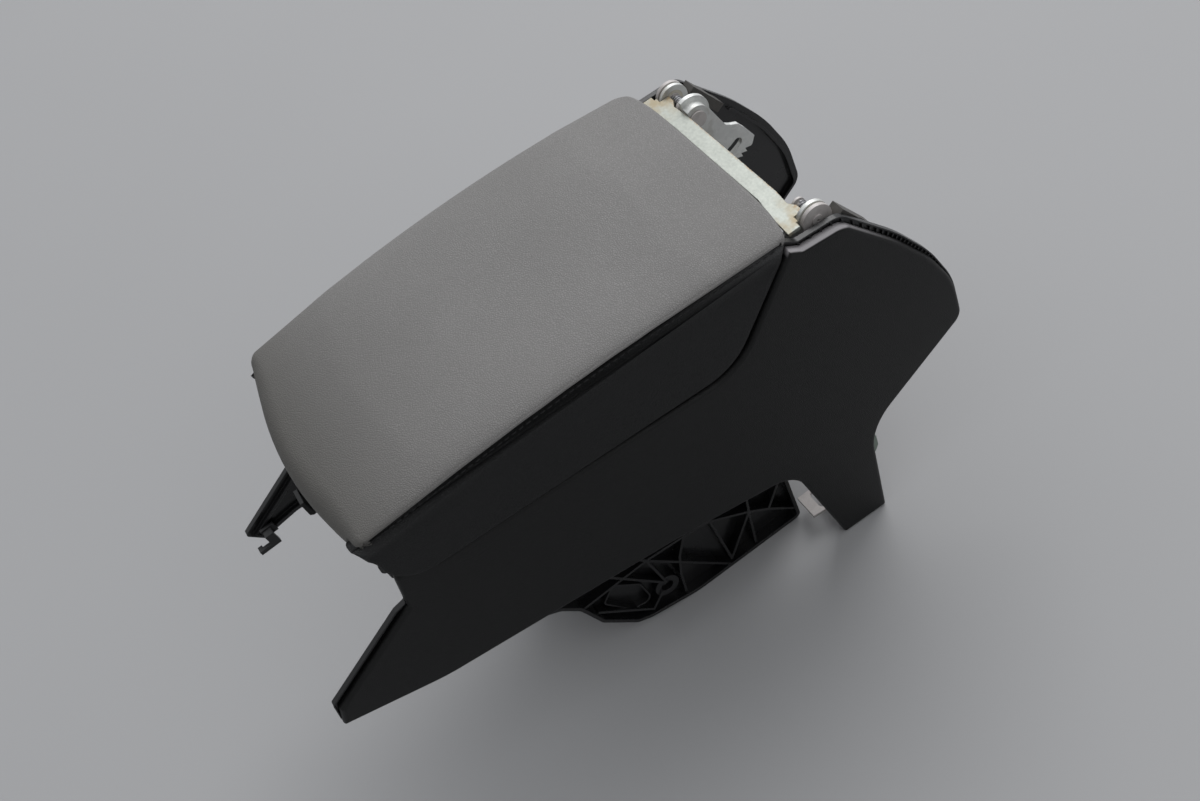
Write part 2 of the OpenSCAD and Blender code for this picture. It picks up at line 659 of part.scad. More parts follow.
module ratchet_plate() {
    x1 = ratchet_plate_x + plate_t;
    stop_at = polar(slot_r, -pin_angle);
    outline = [
        [pivot_y - 5.8, pivot_h - 1], [stop_at[0] - 8, stop_at[1] + 4], [stop_at[0] - 8, stop_at[1] - 5],
        [pawl_pin_at[0] - 8, pawl_pin_at[1]], [pawl_pin_at[0] - 8, plate_low_h],
        [pawl_pin_at[0] + 9, plate_low_h], [pawl_pin_at[0] + 9, pawl_pin_at[1] + 3],
        [stop_at[0] + 11, stop_at[1] - 5], [pivot_y + 5, pivot_h - 3]];
    tab_h = 17;
    color("dimgray") difference() {
        union() {
            slab(ratchet_plate_x, x1) polygon(outline);
            cyl_x(pivot_y, pivot_h, pin_r + 2, ratchet_plate_x, x1);
            translate([-bracket_x, pawl_pin_at[0] - 8, plate_low_h]) cube([x1 + bracket_x, 17, plate_t]);
            translate([-bracket_x, pawl_pin_at[0] - 8, plate_low_h]) cube([plate_t, 17, tab_h]);
        }
        cyl_x(pivot_y, pivot_h, pin_r + run_gap, ratchet_plate_x - 1, x1 + 1);
        cyl_x(stop_at[0], stop_at[1], stop_pin_r - 0.6 + run_gap, ratchet_plate_x - 1, x1 + 1);
        cyl_x(pawl_pin_at[0], pawl_pin_at[1], pawl_pin_r - 0.6 + run_gap, ratchet_plate_x - 1, x1 + 1);
        cyl_x(tab_rivet_at[0], tab_rivet_at[1], screw_r + run_gap, -bracket_x - 1, -bracket_x + plate_t + 1);
    }
}
tab_rivet_at = [pawl_pin_at[0] + 0.5, plate_low_h + 9.5];

// Shouldered pin riveted into the ratchet plate
module plate_pin(at, r, x_end) {
    x0 = ratchet_plate_x + plate_t;
    color("dimgray") {
        cyl_x(at[0], at[1], r - 0.6, ratchet_plate_x - 1, x0 + eps);
        cyl_x(at[0], at[1], r + 0.6, ratchet_plate_x - 1.2, ratchet_plate_x);
        cyl_x(at[0], at[1], r, x0, x_end);
    }
}
module stop_pin() { plate_pin(polar(slot_r, -pin_angle), stop_pin_r, sector_x + sector_t + 1); }
module pawl_pin() {
    head_x = sector_x + sector_t + 2.7;
    plate_pin(pawl_pin_at, pawl_pin_r, head_x);
    color("dimgray") cyl_x(pawl_pin_at[0], pawl_pin_at[1], pawl_pin_r + 1, head_x - eps, head_x + 1);
}

// Pawl, resting just clear of the tooth circle
module pawl() {
    tip = polar(tooth_r + 0.8, 2);
    p = pawl_pin_at;
    color("silver") difference() {
        union() {
            cyl_x(p[0], p[1], 6, sector_x - 3.2, sector_x + sector_t);
            slab(sector_x, sector_x + sector_t) polygon([
                [p[0] - 1, p[1] - 5.9], [tip[0] + 0.4, tip[1] - 4.6], [tip[0] + 1.4, tip[1] - 0.6],
                tip, [tip[0] - 3.5, tip[1] - 1.6], [p[0] + 4, p[1] + 3.6], [p[0] + 2, p[1] + 5]]);
        }
        cyl_x(p[0], p[1], pawl_pin_r + run_gap, sector_x - 5, sector_x + sector_t + 1);
    }
}

module pawl_spring() {
    color("silver") coil(pawl_pin_at[0], pawl_pin_at[1], pawl_pin_r + 0.25 + 0.3, 0.3,
        sector_x + sector_t + 0.1, sector_x + sector_t + 2.5, 2);
}

// Fixed steel brackets with a round knuckle above and a slotted foot below

brace_y = leg_y - 11.6;
brace_rivet_h = [82, 118];
foot_front_y = leg_y - 11.5;
foot_rear_y = leg_y + 19;
clip_at = [pivot_y + 14.5, pivot_h - 1.4];
clip_dir = unit([14.5, -26]);
clip_nrm = [-clip_dir[1], clip_dir[0]];
clip_len = 29;
clip_w = 6.5;

module hinge_bracket(s) {
    x0 = bracket_x;
    x1 = bracket_x + plate_t;
    neck = 8;
    outline = [
        [leg_y + 5, foot_h], [leg_y + leg_w - 7, foot_h], [leg_y + leg_w - 2, foot_h + 58],
        [leg_y + leg_w + 6, belly_h + 6], [pivot_y - 4, belly_h + 40], [pivot_y + 6, pivot_h - 60],
        [pivot_y + 12, pivot_h - 22], [pivot_y + neck, pivot_h], [pivot_y - neck, pivot_h],
        [pivot_y - 15, pivot_h - 24], [pivot_y - 36, pivot_h - 74], [brace_y + 2, belly_h + 36],
        [brace_y + 2, belly_h - 20], [leg_y - 5, foot_h + 63]];
    tab = [clip_at + clip_dir * 4 - clip_nrm * 2.4, clip_at + clip_dir * 4 - clip_nrm * 8,
           [pivot_y + 4, pivot_h - 6], [pivot_y + 8, pivot_h - 36],
           clip_at + clip_dir * (clip_len - 4) - clip_nrm * 8,
           clip_at + clip_dir * (clip_len - 4) - clip_nrm * 2.4];
    color("gray") side(s) difference() {
        union() {
            slab(x0, x1) polygon(outline);
            slab(x0, x1) polygon(tab);
            cyl_x(pivot_y, pivot_h, knuckle_r, x0, x1);
            translate([0, 0, foot_h]) linear_extrude(plate_t) polygon([
                [x1, leg_y + 5], [x1, leg_y + leg_w - 7], [x0 - 2, foot_rear_y], [x0 - 23, foot_rear_y],
                [x0 - 23, foot_front_y], [x0 - 4, foot_front_y], [x0 - 2, leg_y + 5]]);
        }
        cyl_x(pivot_y, pivot_h, rivet_r + run_gap, x0 - 1, x1 + 1);
        for (h = brace_rivet_h) cyl_x(brace_y + 10, h, screw_r + run_gap, x0 - 1, x1 + 1);
        if (s < 0) cyl_x(tab_rivet_at[0], tab_rivet_at[1], screw_r + run_gap, x0 - 1, x1 + 1);
        translate([foot_slot_x, leg_y, foot_h - 1]) {
            slide = (foot_slot_len - foot_slot_w) / 2;
            for (x = [-slide, slide]) translate([x, 0, 0]) cylinder(r = foot_slot_w / 2, h = plate_t + 2);
            translate([-slide, -foot_slot_w / 2, 0]) cube([2 * slide, foot_slot_w, plate_t + 2]);
        }
    }
}
module hinge_bracket_left() { hinge_bracket(1); }
module hinge_bracket_right() { hinge_bracket(-1); }

// Pressed cross plate between the brackets, with ends turned to the rear
brace_low = 66;
brace_top = 134;
module bracket_brace() {
    tall = brace_top - brace_low;
    color("gray") difference() {
        union() {
            translate([-bracket_x, brace_y, brace_low]) cube([2 * bracket_x, plate_t, tall]);
            both_sides() translate([bracket_x - plate_t, brace_y, brace_low]) cube([plate_t, 17, tall]);
            translate([-bracket_x + 8, brace_y, brace_low]) cube([2 * bracket_x - 16, 9, plate_t]);
        }
        both_sides() for (h = brace_rivet_h)
            cyl_x(brace_y + 10, h, screw_r + run_gap, bracket_x - plate_t - 1, bracket_x + 1);
        for (x = [-30, 30]) translate([x, brace_y - 1, brace_rivet_h[1]]) rotate([-90, 0, 0])
            cylinder(r = screw_r + run_gap, h = plate_t + 2);
        translate([0, brace_y - 1, (brace_low + brace_top) / 2]) rotate([-90, 0, 0])
            cylinder(r = 14, h = plate_t + 2);
    }
}

module rivet(y, z) {
    cyl_x(y, z, screw_r, bracket_x - plate_t - eps, bracket_x + plate_t + eps);
    cyl_x(y, z, screw_r + 1.2, bracket_x - plate_t - 1.2, bracket_x - plate_t);
    cyl_x(y, z, screw_r + 1.2, bracket_x + plate_t, bracket_x + plate_t + 0.8);
}
module brace_rivets() {
    color("silver") {
        both_sides() for (h = brace_rivet_h) rivet(brace_y + 10, h);
        mirror([1, 0, 0]) rivet(tab_rivet_at[0], tab_rivet_at[1]);
    }
}

// Cheeks

// Corners below the front of the cheek; the right-hand one has a slimmer tip
function belly_front(slim) = slim
    ? [[tip_y + 12, tip_h + 9.5, 1.5], [pad_front_y - 34, tip_h + 13, 20], [pad_front_y + 20, belly_h + 22, 60]]
    : [[tip_y + 2.2, tip_h, 1.5], [pad_front_y - 13, belly_h + 22, 120]];

// Corners of the cheek, counter-clockwise from the front tip's lower corner: lip is how far the
// front rim and reach how far the top edge stand out past the skin
function cheek_outline(lip, reach, slim) =
    let (front = pad_front_y, top_f = low_front_h - pad_gap, top_r = low_rear_h - pad_gap,
         fin = slim ? [-1.5, 4] : [0, 0])
    concat(belly_front(slim), [
     [leg_y - 98, belly_h, 250],
     [leg_y - 15.9, belly_h - 16.5, 24],
     [leg_y, 0, 1.5],
     [leg_y + leg_w, 0, 1.5],
     [leg_y + leg_w + 7.7, belly_h - 24, 40],
     [lobe_y + 1.7 + reach * 0.2, belly_h + 21, 11],
     [lobe_y + 1.7 + reach * 0.2, pivot_h - 100, 70],
     [lobe_y - 9.4 + reach * 0.55, pivot_h - 70 + reach * 0.4, 100],
     [lobe_y - 26.9 + reach * 0.8, pivot_h - 40.5 + reach * 0.55, 150],
     [pivot_y + 8.5 + reach * 0.25, pivot_h - 3 + reach * 1.15, 13],
     [pivot_y - 18, pivot_h - 0.5 + reach, 5],
     [pad_rear_y + 1.5, seam_h - 7 + reach * 1.2, 1],
     [low_rear_y + 1.5, top_r, heel_r + pad_gap],
     [front + 28, top_f - 2, 30],
     [front + 4.5, low_front_h + 6.5, 4],
     [front - 1.3, low_front_h - 23 + lip * 0.3, 2],
     [front - 7.5 - lip * 0.5, low_front_h - 26.9 + lip * 0.86, 1],
     [tip_y + 7.3 - lip * 0.5 + fin[0], tip_h + 14.2 + lip * 0.86 + fin[1], 2]]);

// Places a left-hand cheek solid, whose outer face lies on X = 0, and toes it in
module cheek_place() {
    translate([lobe_span / 2, lobe_y, 0]) rotate([0, 0, -toe_in]) translate([0, -lobe_y, 0]) children();
}

// X of the cheek's surface at a depth below its outer face
function cheek_x(y, depth) = lobe_span / 2 - (lobe_y - y) * tan(toe_in) - depth / cos(toe_in);

module cheek_skin(s) {
    base = cheek_outline(0, 0, s < 0);
    roll_steps = 4;
    lap = 1.5;
    levels = concat(
        [[skin_t, skin_t], [rim_depth, skin_t], [rim_depth, 0]],
        [for (k = [0:roll_steps])
            let (a = 90 * k / roll_steps)
            [edge_roll * (1 - sin(a)), edge_roll * (1 - cos(a))]],
        [[0, edge_roll + lap], [skin_t, edge_roll + lap]]);
    rings = [for (lv = levels) [for (p = rounded(inset(base, lv[1]))) [-lv[0], p[0], p[1]]]];
    color("#2b2b2b") side(s) cheek_place() {
        hoop(rings);
        slab(-skin_t + 0.02, -0.02) polygon(rounded(inset(base, edge_roll + lap / 2)));
    }
}
module cheek_skin_left() { cheek_skin(1); }
module cheek_skin_right() { cheek_skin(-1); }

// Places where the carrier is screwed to the bin, as [y, z]
cheek_screw_at = [
    [pad_front_y + 28, low_front_h - 52],
    [(pad_front_y + low_rear_y) / 2, (low_front_h + low_rear_h) / 2 - 48],
    [low_rear_y - 14, low_rear_h - 50]];
bin_side_x = bin_half_w + rib_depth;

module cheek_carrier(s) {
    base = cheek_outline(front_lip, flange_reach, s < 0);
    wall_in = flange_reach;
    lip_depth = 3.6;
    lobe_mid = [pivot_y + 10, pivot_h - 75];
    tick_step = 5;
    color("#151515") side(s) difference() {
        union() {
            cheek_place() {
                slab(-rim_depth - pan_t, -rim_depth) polygon(rounded(base));
                slab(-cheek_depth, -rim_depth - eps) difference() {
                    polygon(rounded(inset(base, wall_in)));
                    polygon(rounded(inset(base, wall_in + pan_t)));
                }
                slab(-rim_depth - eps, -lip_depth) intersection() {
                    difference() {
                        polygon(rounded(base));
                        polygon(rounded(inset(base, 0.9)));
                    }
                    difference() {
                        translate([tip_y, 0]) square([overall_len, seam_h + 20]);
                        polygon(rounded(inset(cheek_outline(0, 0, s < 0), -0.3)));
                    }
                }
                slab(-rim_depth - eps, -lip_depth - 0.5) intersection() {
                    difference() {
                        polygon(rounded(inset(base, 0.6)));
                        polygon(rounded(inset(cheek_outline(0, 0, s < 0), -0.3)));
                    }
                    for (a = [-20:tick_step:125]) {
                        translate(lobe_mid) rotate(a) translate([0, -0.4]) square([150, 0.8]);
                    }
                }
            }
            for (at = cheek_screw_at) {
                cyl_x(at[0], at[1], 6, bin_side_x, cheek_x(at[0], rim_depth + pan_t / 2));
            }
        }
        for (at = cheek_screw_at) {
            cyl_x(at[0], at[1], screw_r + run_gap, bin_side_x - 1, bin_side_x + 9);
        }
        translate([0, pivot_y - knuckle_r - 3, pivot_h - 40])
            cube([bracket_x + plate_t + 3.8, clip_len + knuckle_r + 13, 60]);
        translate([bracket_x - 4, foot_front_y, -1]) cube([plate_t + 5.4, 70, foot_h + 70]);
        translate([buffer_x, buffer_y, buffer_seat - 12]) cylinder(r = 1.6, h = 20);
        translate([0, brace_y - 2, brace_low - 2])
            cube([bracket_x + plate_t + 1.1, 22, brace_top - brace_low + 4]);
    }
}
module cheek_carrier_left() { cheek_carrier(1); }
module cheek_carrier_right() { cheek_carrier(-1); }

// Storage bin, ribbed on the outside

bin_front_y = catch_y;
bin_rear_y = brace_y;
bin_top_front = low_front_h - bin_gap;
bin_top_rear = low_rear_h - bin_gap;

bin_profile = [
    [bin_front_y, belly_h + 2, 14],
    [leg_y - 184, 77, 9],
    [leg_y - 174, 64, 12],
    [leg_y - 167, 38, 10],
    [leg_y - 148, 13, 9],
    [leg_y - 138, 8, 20],
    [leg_y - 102, 0, 60],
    [bin_rear_y - 3, 0, 5],
    [bin_rear_y, belly_h - 20, 30],
    [bin_rear_y, bin_top_rear, 2],
    [bin_front_y, bin_top_front, 2]];

// Crossing points of the outside ribs, as distances ahead of the leg and heights
rib_at = [
    [121, 64], [92, 61], [46, 39], [33, 28], [13, 6], [74, 2], [117, 29], [106, 28],
    [147, 74], [165, 48], [51, 5], [71, 6], [20, 46], [101, 45], [43, 56], [134, 13],
    [171, 62], [72, 57], [150, 112], [60, 112], [20, 112], [109, 8]];
// Pairs of crossing points that a rib joins
rib_pairs = [
    [0, 1], [1, 17], [17, 2], [0, 5], [1, 13], [13, 7], [0, 6], [8, 6], [0, 16], [2, 11], [2, 10],
    [2, 3], [3, 12], [3, 4], [2, 14], [6, 15], [0, 18], [1, 19], [14, 19], [12, 20], [7, 21], [18, 8],
    [17, 11], [9, 15]];

module bin_ribs() {
    for (pair = rib_pairs) {
        a = [leg_y - rib_at[pair[0]][0], rib_at[pair[0]][1]];
        b = [leg_y - rib_at[pair[1]][0], rib_at[pair[1]][1]];
        d = b - a;
        translate(a) rotate(atan2(d[1], d[0])) translate([-rib_t / 2, -rib_t / 2])
            square([norm(d) + rib_t, rib_t]);
    }
}

module storage_bin() {
    inner_x = bin_half_w - bin_t;
    color("#0c0c0c") difference() {
        union() {
            slab(-bin_half_w, bin_half_w) difference() {
                polygon(rounded(bin_profile));
                polygon(rounded(inset(bin_profile, bin_t)));
            }
            both_sides() slab(inner_x, bin_half_w) polygon(rounded(inset(bin_profile, 0.2)));
        }
        translate([-inner_x, 0, 0]) rotate([90, 0, 90]) linear_extrude(2 * inner_x)
            polygon([[bin_front_y + bin_t, belly_h + 20], [bin_rear_y - bin_t, belly_h + 20],
                     [bin_rear_y - bin_t, seam_h], [bin_front_y + bin_t, seam_h]]);
        both_sides() for (at = cheek_screw_at)
            cyl_x(at[0], at[1], screw_r + run_gap, inner_x - 1, bin_half_w + 1);
        for (x = [-30, 30]) translate([x, bin_rear_y - bin_t - 1, brace_rivet_h[1]]) rotate([-90, 0, 0])
            cylinder(r = screw_r + run_gap, h = bin_t + 2);
    }
}

// Rim, ribs, bosses and shallow pocket moulded on each side of the bin
module rib_panel(s) {
    x0 = bin_half_w;
    hub_at = [leg_y - 118, 25];
    pocket = [[leg_y - 160, 50, 4], [leg_y - 146, 24, 4], [leg_y - 130, 20, 6],
              [leg_y - 132, 44, 4], [leg_y - 148, 62, 4]];
    field = rounded(inset(bin_profile, 0.5));
    color("#0c0c0c") side(s) difference() {
        union() {
            slab(x0, bin_side_x) difference() {
                polygon(rounded(bin_profile));
                polygon(rounded(inset(bin_profile, bin_t)));
            }
            slab(x0, bin_side_x - 1) intersection() {
                polygon(field);
                bin_ribs();
            }
            slab(x0, bin_side_x - 3) difference() {
                polygon(rounded(pocket));
                polygon(rounded(inset(pocket, 1.2)));
            }
            cyl_x(hub_at[0], hub_at[1], 9, x0, bin_side_x - 2);
            for (at = cheek_screw_at) cyl_x(at[0], at[1], 7, x0, bin_side_x);
            slab(x0, bin_side_x) intersection() {
                polygon(field);
                translate([bin_front_y - 1, belly_h - 3]) square([bin_rear_y - bin_front_y + 2, rib_t]);
            }
        }
        for (at = cheek_screw_at) cyl_x(at[0], at[1], screw_r + run_gap, x0 - 1, bin_side_x + 1);
        cyl_x(hub_at[0], hub_at[1], 4.5, x0 + 1, bin_side_x);
    }
}
module rib_panel_left() { rib_panel(1); }
module rib_panel_right() { rib_panel(-1); }

// Screws from inside the bin to the cheeks, and from the brace to the bin
module bin_screws() {
    seat = bin_half_w - bin_t;
    color("dimgray") {
        both_sides() for (at = cheek_screw_at) {
            cyl_x(at[0], at[1], screw_r, seat - eps, bin_side_x + 8);
            cyl_x(at[0], at[1], screw_head_r, seat - screw_head_h, seat);
        }
        for (x = [-30, 30]) translate([x, 0, brace_rivet_h[1]]) rotate([-90, 0, 0]) {
            translate([0, 0, brace_y - bin_t - 3]) cylinder(r = screw_r, h = bin_t + 3 + plate_t + eps);
            translate([0, 0, brace_y + plate_t]) cylinder(r = screw_head_r, h = screw_head_h);
        }
    }
}

// Small trim

// Rubber stops pushed into the front corners of the cheek carriers
buffer_y = pad_front_y + 3.8;
buffer_x = cheek_x(buffer_y, (rim_depth + cheek_depth) / 2 - 0.5);
buffer_seat = low_front_h + 7.4;
module corner_buffers() {
    color("#111111") both_sides() {
        translate([buffer_x, buffer_y, buffer_seat]) cylinder(r1 = 3.6, r2 = 3.2, h = 3.6);
        translate([buffer_x, buffer_y, buffer_seat - 9]) cylinder(r = 1.6, h = 9 + eps);
    }
}

// Folded spring clip pushed over the tab of each bracket
module top_clip(s) {
    x_mid = bracket_x + plate_t / 2;
    outer = [clip_at, clip_at - clip_nrm * clip_w, clip_at + clip_dir * clip_len - clip_nrm * clip_w,
             clip_at + clip_dir * clip_len];
    slit = [clip_at + clip_dir * 3.8 - clip_nrm * 2.3, clip_at + clip_dir * 3.8 - clip_nrm * (clip_w + 3),
            clip_at + clip_dir * (clip_len - 3.8) - clip_nrm * (clip_w + 3),
            clip_at + clip_dir * (clip_len - 3.8) - clip_nrm * 2.3];
    window = [for (q = [[17, 1], [17, -3], [24, -3], [24, 1]]) clip_at + clip_dir * q[0] + clip_nrm * q[1]];
    half = plate_t / 2 + 3 * clip_t;
    color("#3a3a36") side(s) difference() {
        slab(x_mid - half, x_mid + half) polygon(outer);
        slab(x_mid - plate_t / 2 - 0.1, x_mid + plate_t / 2 + 0.1) polygon(slit);
        slab(x_mid + plate_t / 2 + clip_t, x_mid + half + 1) polygon(window);
    }
}
module top_clip_left() { top_clip(1); }
module top_clip_right() { top_clip(-1); }

// Hook on the inner side of the right-hand front tip
module tip_hook_right() {
    y = tip_y + 17.4;
    z = tip_h + 18;
    arm = 8;
    bar = 3;
    color("#101010") side(-1) cheek_place() {
        translate([-cheek_depth - 2.4, y - 4, z - 3]) cube([2.4, 10, 7]);
        translate([-cheek_depth - arm, y - bar, z]) cube([arm, 2 * bar, bar]);
        translate([-cheek_depth - arm, y - bar, z - 8]) cube([bar, 2 * bar, 8 + eps]);
        translate([-cheek_depth - arm, y - 12, z - 8]) cube([bar, 12, bar]);
        translate([-cheek_depth - arm, y - 12, z - 8]) cube([5, bar, bar]);
    }
}

// Small lug under the left-hand front tip
module tip_lug_left() {
    y = tip_y + 9;
    color("#101010") cheek_place() {
        translate([-cheek_depth - 2, y, tip_h + 2]) cube([2, 7, 5]);
        translate([-cheek_depth - 2, y, tip_h - 6]) cube([1.9, 5, 9]);
    }
}

// Small translucent clip on the rear rim of each leg
module waist_clip(s) {
    lean = 7.7 / (belly_h - 24);
    rim = leg_y + leg_w - flange_reach + 0.02;
    color("darkseagreen") side(s) cheek_place() slab(-10.5, -rim_depth - pan_t - 0.1) polygon([
        [rim + 46 * lean, 46], [rim + 12, 49], [rim + 15, 54], [rim + 15.5, 63],
        [rim + 14, 68], [rim + 58 * lean + 3, 68], [rim + 58 * lean, 58]]);
}
module waist_clip_left() { waist_clip(1); }
module waist_clip_right() { waist_clip(-1); }

pad_top_cover();
pad_side_cover_left();
pad_side_cover_right();
pad_foam();
pad_frame();
pad_bottom_cover();
frame_screws();
release_lever();
lever_pin();
lever_spring();
crossbar();
hinge_arm_left();
hinge_arm_right();
pivot_bush_left();
pivot_bush_right();
pivot_pin_left();
pivot_pin_right();
lift_spring_left();
lift_spring_right();
ratchet_sector();
ratchet_plate();
stop_pin();
pawl();
pawl_pin();
pawl_spring();
hinge_bracket_left();
hinge_bracket_right();
bracket_brace();
brace_rivets();
cheek_skin_left();
cheek_skin_right();
cheek_carrier_left();
cheek_carrier_right();
storage_bin();
rib_panel_left();
rib_panel_right();
bin_screws();
catch_plate();
corner_buffers();
top_clip_left();
top_clip_right();
tip_hook_right();
tip_lug_left();
waist_clip_left();
waist_clip_right();
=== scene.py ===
"""Centre armrest: leather lid on a ratcheting hinge, ribbed bin and two trim cheeks.

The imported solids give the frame. The leather, the cheek panels and the stitching are modelled here.
Lengths of outlines are in millimetres and become metres in to_m().
"""
import json
import math
import random

import bmesh
import bpy
from mathutils import Matrix, Vector, noise
from mathutils.geometry import delaunay_2d_cdt

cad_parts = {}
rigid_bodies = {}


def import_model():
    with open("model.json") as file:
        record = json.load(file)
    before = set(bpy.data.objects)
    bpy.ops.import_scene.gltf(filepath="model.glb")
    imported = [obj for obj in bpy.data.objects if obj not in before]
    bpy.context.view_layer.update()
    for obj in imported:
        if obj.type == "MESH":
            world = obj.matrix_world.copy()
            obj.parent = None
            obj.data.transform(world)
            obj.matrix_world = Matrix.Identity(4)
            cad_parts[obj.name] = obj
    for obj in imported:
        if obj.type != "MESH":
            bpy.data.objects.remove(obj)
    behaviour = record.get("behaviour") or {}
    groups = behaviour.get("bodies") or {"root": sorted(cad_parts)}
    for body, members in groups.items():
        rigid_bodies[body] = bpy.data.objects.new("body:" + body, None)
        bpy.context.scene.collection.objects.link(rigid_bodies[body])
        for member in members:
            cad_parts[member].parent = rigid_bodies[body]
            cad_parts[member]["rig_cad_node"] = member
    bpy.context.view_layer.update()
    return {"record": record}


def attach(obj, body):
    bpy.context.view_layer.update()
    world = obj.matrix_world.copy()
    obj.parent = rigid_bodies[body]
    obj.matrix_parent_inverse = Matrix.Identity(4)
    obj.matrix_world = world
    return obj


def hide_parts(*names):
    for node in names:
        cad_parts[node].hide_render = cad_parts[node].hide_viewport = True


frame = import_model()
rng = random.Random(7)

# Camera

CAM_AT = Vector((0.5658, -0.0531, 0.8050))
CAM_RIGHT = Vector((0.4826, 0.8070, -0.3403))
CAM_UP = Vector((-0.5808, 0.5857, 0.5654))
CAM_BACK = Vector((0.6556, -0.0752, 0.7514))
SENSOR_MM = 36
LENS_MM = 41.55

cam_data = bpy.data.cameras.new("camera")
cam_data.sensor_width = SENSOR_MM
cam_data.lens = LENS_MM
cam_data.clip_start = 0.01
cam_data.clip_end = 50
cam = bpy.data.objects.new("camera", cam_data)
bpy.context.scene.collection.objects.link(cam)
cam_turn = Matrix((CAM_RIGHT, CAM_UP, CAM_BACK)).transposed().to_4x4()
cam.matrix_world = Matrix.Translation(CAM_AT) @ cam_turn
bpy.context.scene.camera = cam

# Sizes of the part, in mm

# Whole part, pad and pivot; these follow part.scad
OVERALL = 448.8
TIP_Y = -OVERALL / 2
PAD_FRONT = TIP_Y + 78
PAD_REAR = PAD_FRONT + 274
PAD_MID = (PAD_FRONT + PAD_REAR) / 2
PAD_HALF = (PAD_REAR - PAD_FRONT) / 2
PIVOT = (PAD_REAR + 26.6, 260.5)
SEAM_H = 272.0
HALF_W = 87.0
LOW_FRONT = SEAM_H - 46
LOW_REAR = SEAM_H - 62
LOW_REAR_Y = PAD_REAR - 51.5

# Top leather: swell of its front, rear and top, and the corners seen from above
COVER = 2.0
BULGE = 14.0
CROWN = 9.0
REAR_BULGE = 5.0
REAR_END = PAD_REAR + 4.5
CORNER_FRONT = 5.0
CORNER_REAR = {1: 3.0, -1: 8.0}
EDGE_IN = 0.6
LEATHER_THICK = 1.2
TOP_STRIPS = 36

# Bow along the pad: rise and swell of the seam, how far down it reaches, how much the near rear end lacks
SEAM_RISE = 8.0
SEAM_SWELL = 2.4
RISE_DEPTH = 34.0
RISE_EASED = 0.8

# Front lip behind the side panels, with the fractions of the half width where it moves back and inwards
TUCK_FROM = 0.868
TUCK_BACK = 2.6
TUCK_ENDS = 0.97
TUCK_IN = 2.4

# Side panels, which wrap round the pad's ends, and their stitches
WRAP_FRONT = 9.0
WRAP_REAR = 2.0
STITCH_PITCH = 4.6
STITCH_LENGTH = 3.1
STITCH_RADIUS = 0.33

# Cheeks: outline, lean, and the rolled edge of the skin
LOBE_Y = PIVOT[0] + 62.7
LOBE_HALF = HALF_W + 3.5
LEG_Y = PIVOT[0] - 55.7
LEG_W = 33.6
BELLY_H = 106.5
TIP_H = 147.5
TOE_IN = math.radians(1.4)
CHEEK_ROLL = 3.0
CHEEK_WALL = 2.5
CHEEK_RIM = 5.5


def to_m(p):
    """A point in millimetres as metres."""
    return Vector(p) * 0.001


def clamp(v):
    """The value held between 0 and 1."""
    return max(0.0, min(1.0, v))


# Outlines


def corner_arc(a, b, c, r, n, share=0.49):
    """Points of the arc of radius r that rounds corner b."""
    a, b, c = Vector(a), Vector(b), Vector(c)
    u, v = (a - b).normalized(), (c - b).normalized()
    half = math.acos(max(-1, min(1, u.dot(v)))) / 2
    q = max(0.05, min(r, share * min((a - b).length, (c - b).length) * math.tan(half)))
    mid = b + (u + v).normalized() * (q / math.sin(half))
    p, e = b + u * (q / math.tan(half)), b + v * (q / math.tan(half))
    a0 = math.atan2(p.y - mid.y, p.x - mid.x)
    turn = (math.atan2(e.y - mid.y, e.x - mid.x) - a0 + 3 * math.pi) % (2 * math.pi) - math.pi
    angles = (a0 + turn * k / n for k in range(n + 1))
    return [mid + q * Vector((math.cos(angle), math.sin(angle))) for angle in angles]


def rounded(corners, n=10, share=0.49):
    """A closed outline from corners (y, z, radius), with n steps in each arc."""
    out, m = [], len(corners)
    for i, (y, z, r) in enumerate(corners):
        out += corner_arc(corners[i - 1][:2], (y, z), corners[(i + 1) % m][:2], r, n, share)
    return out


def inset(corners, d):
    """The corners of a counter-clockwise outline, moved inwards by d."""
    out, m = [], len(corners)
    for i, (y, z, r) in enumerate(corners):
        p = Vector((y, z))
        s = (p - Vector(corners[i - 1][:2])).normalized()
        t = (Vector(corners[(i + 1) % m][:2]) - p).normalized()
        a, b = Vector((-s.y, s.x)), Vector((-t.y, t.x))
        q = p + (a + b) * (d / (1 + a.dot(b)))
        convex = s.x * t.y - s.y * t.x > 0
        out.append((q.x, q.y, max(0.1, r - d if convex else r + d)))
    return out


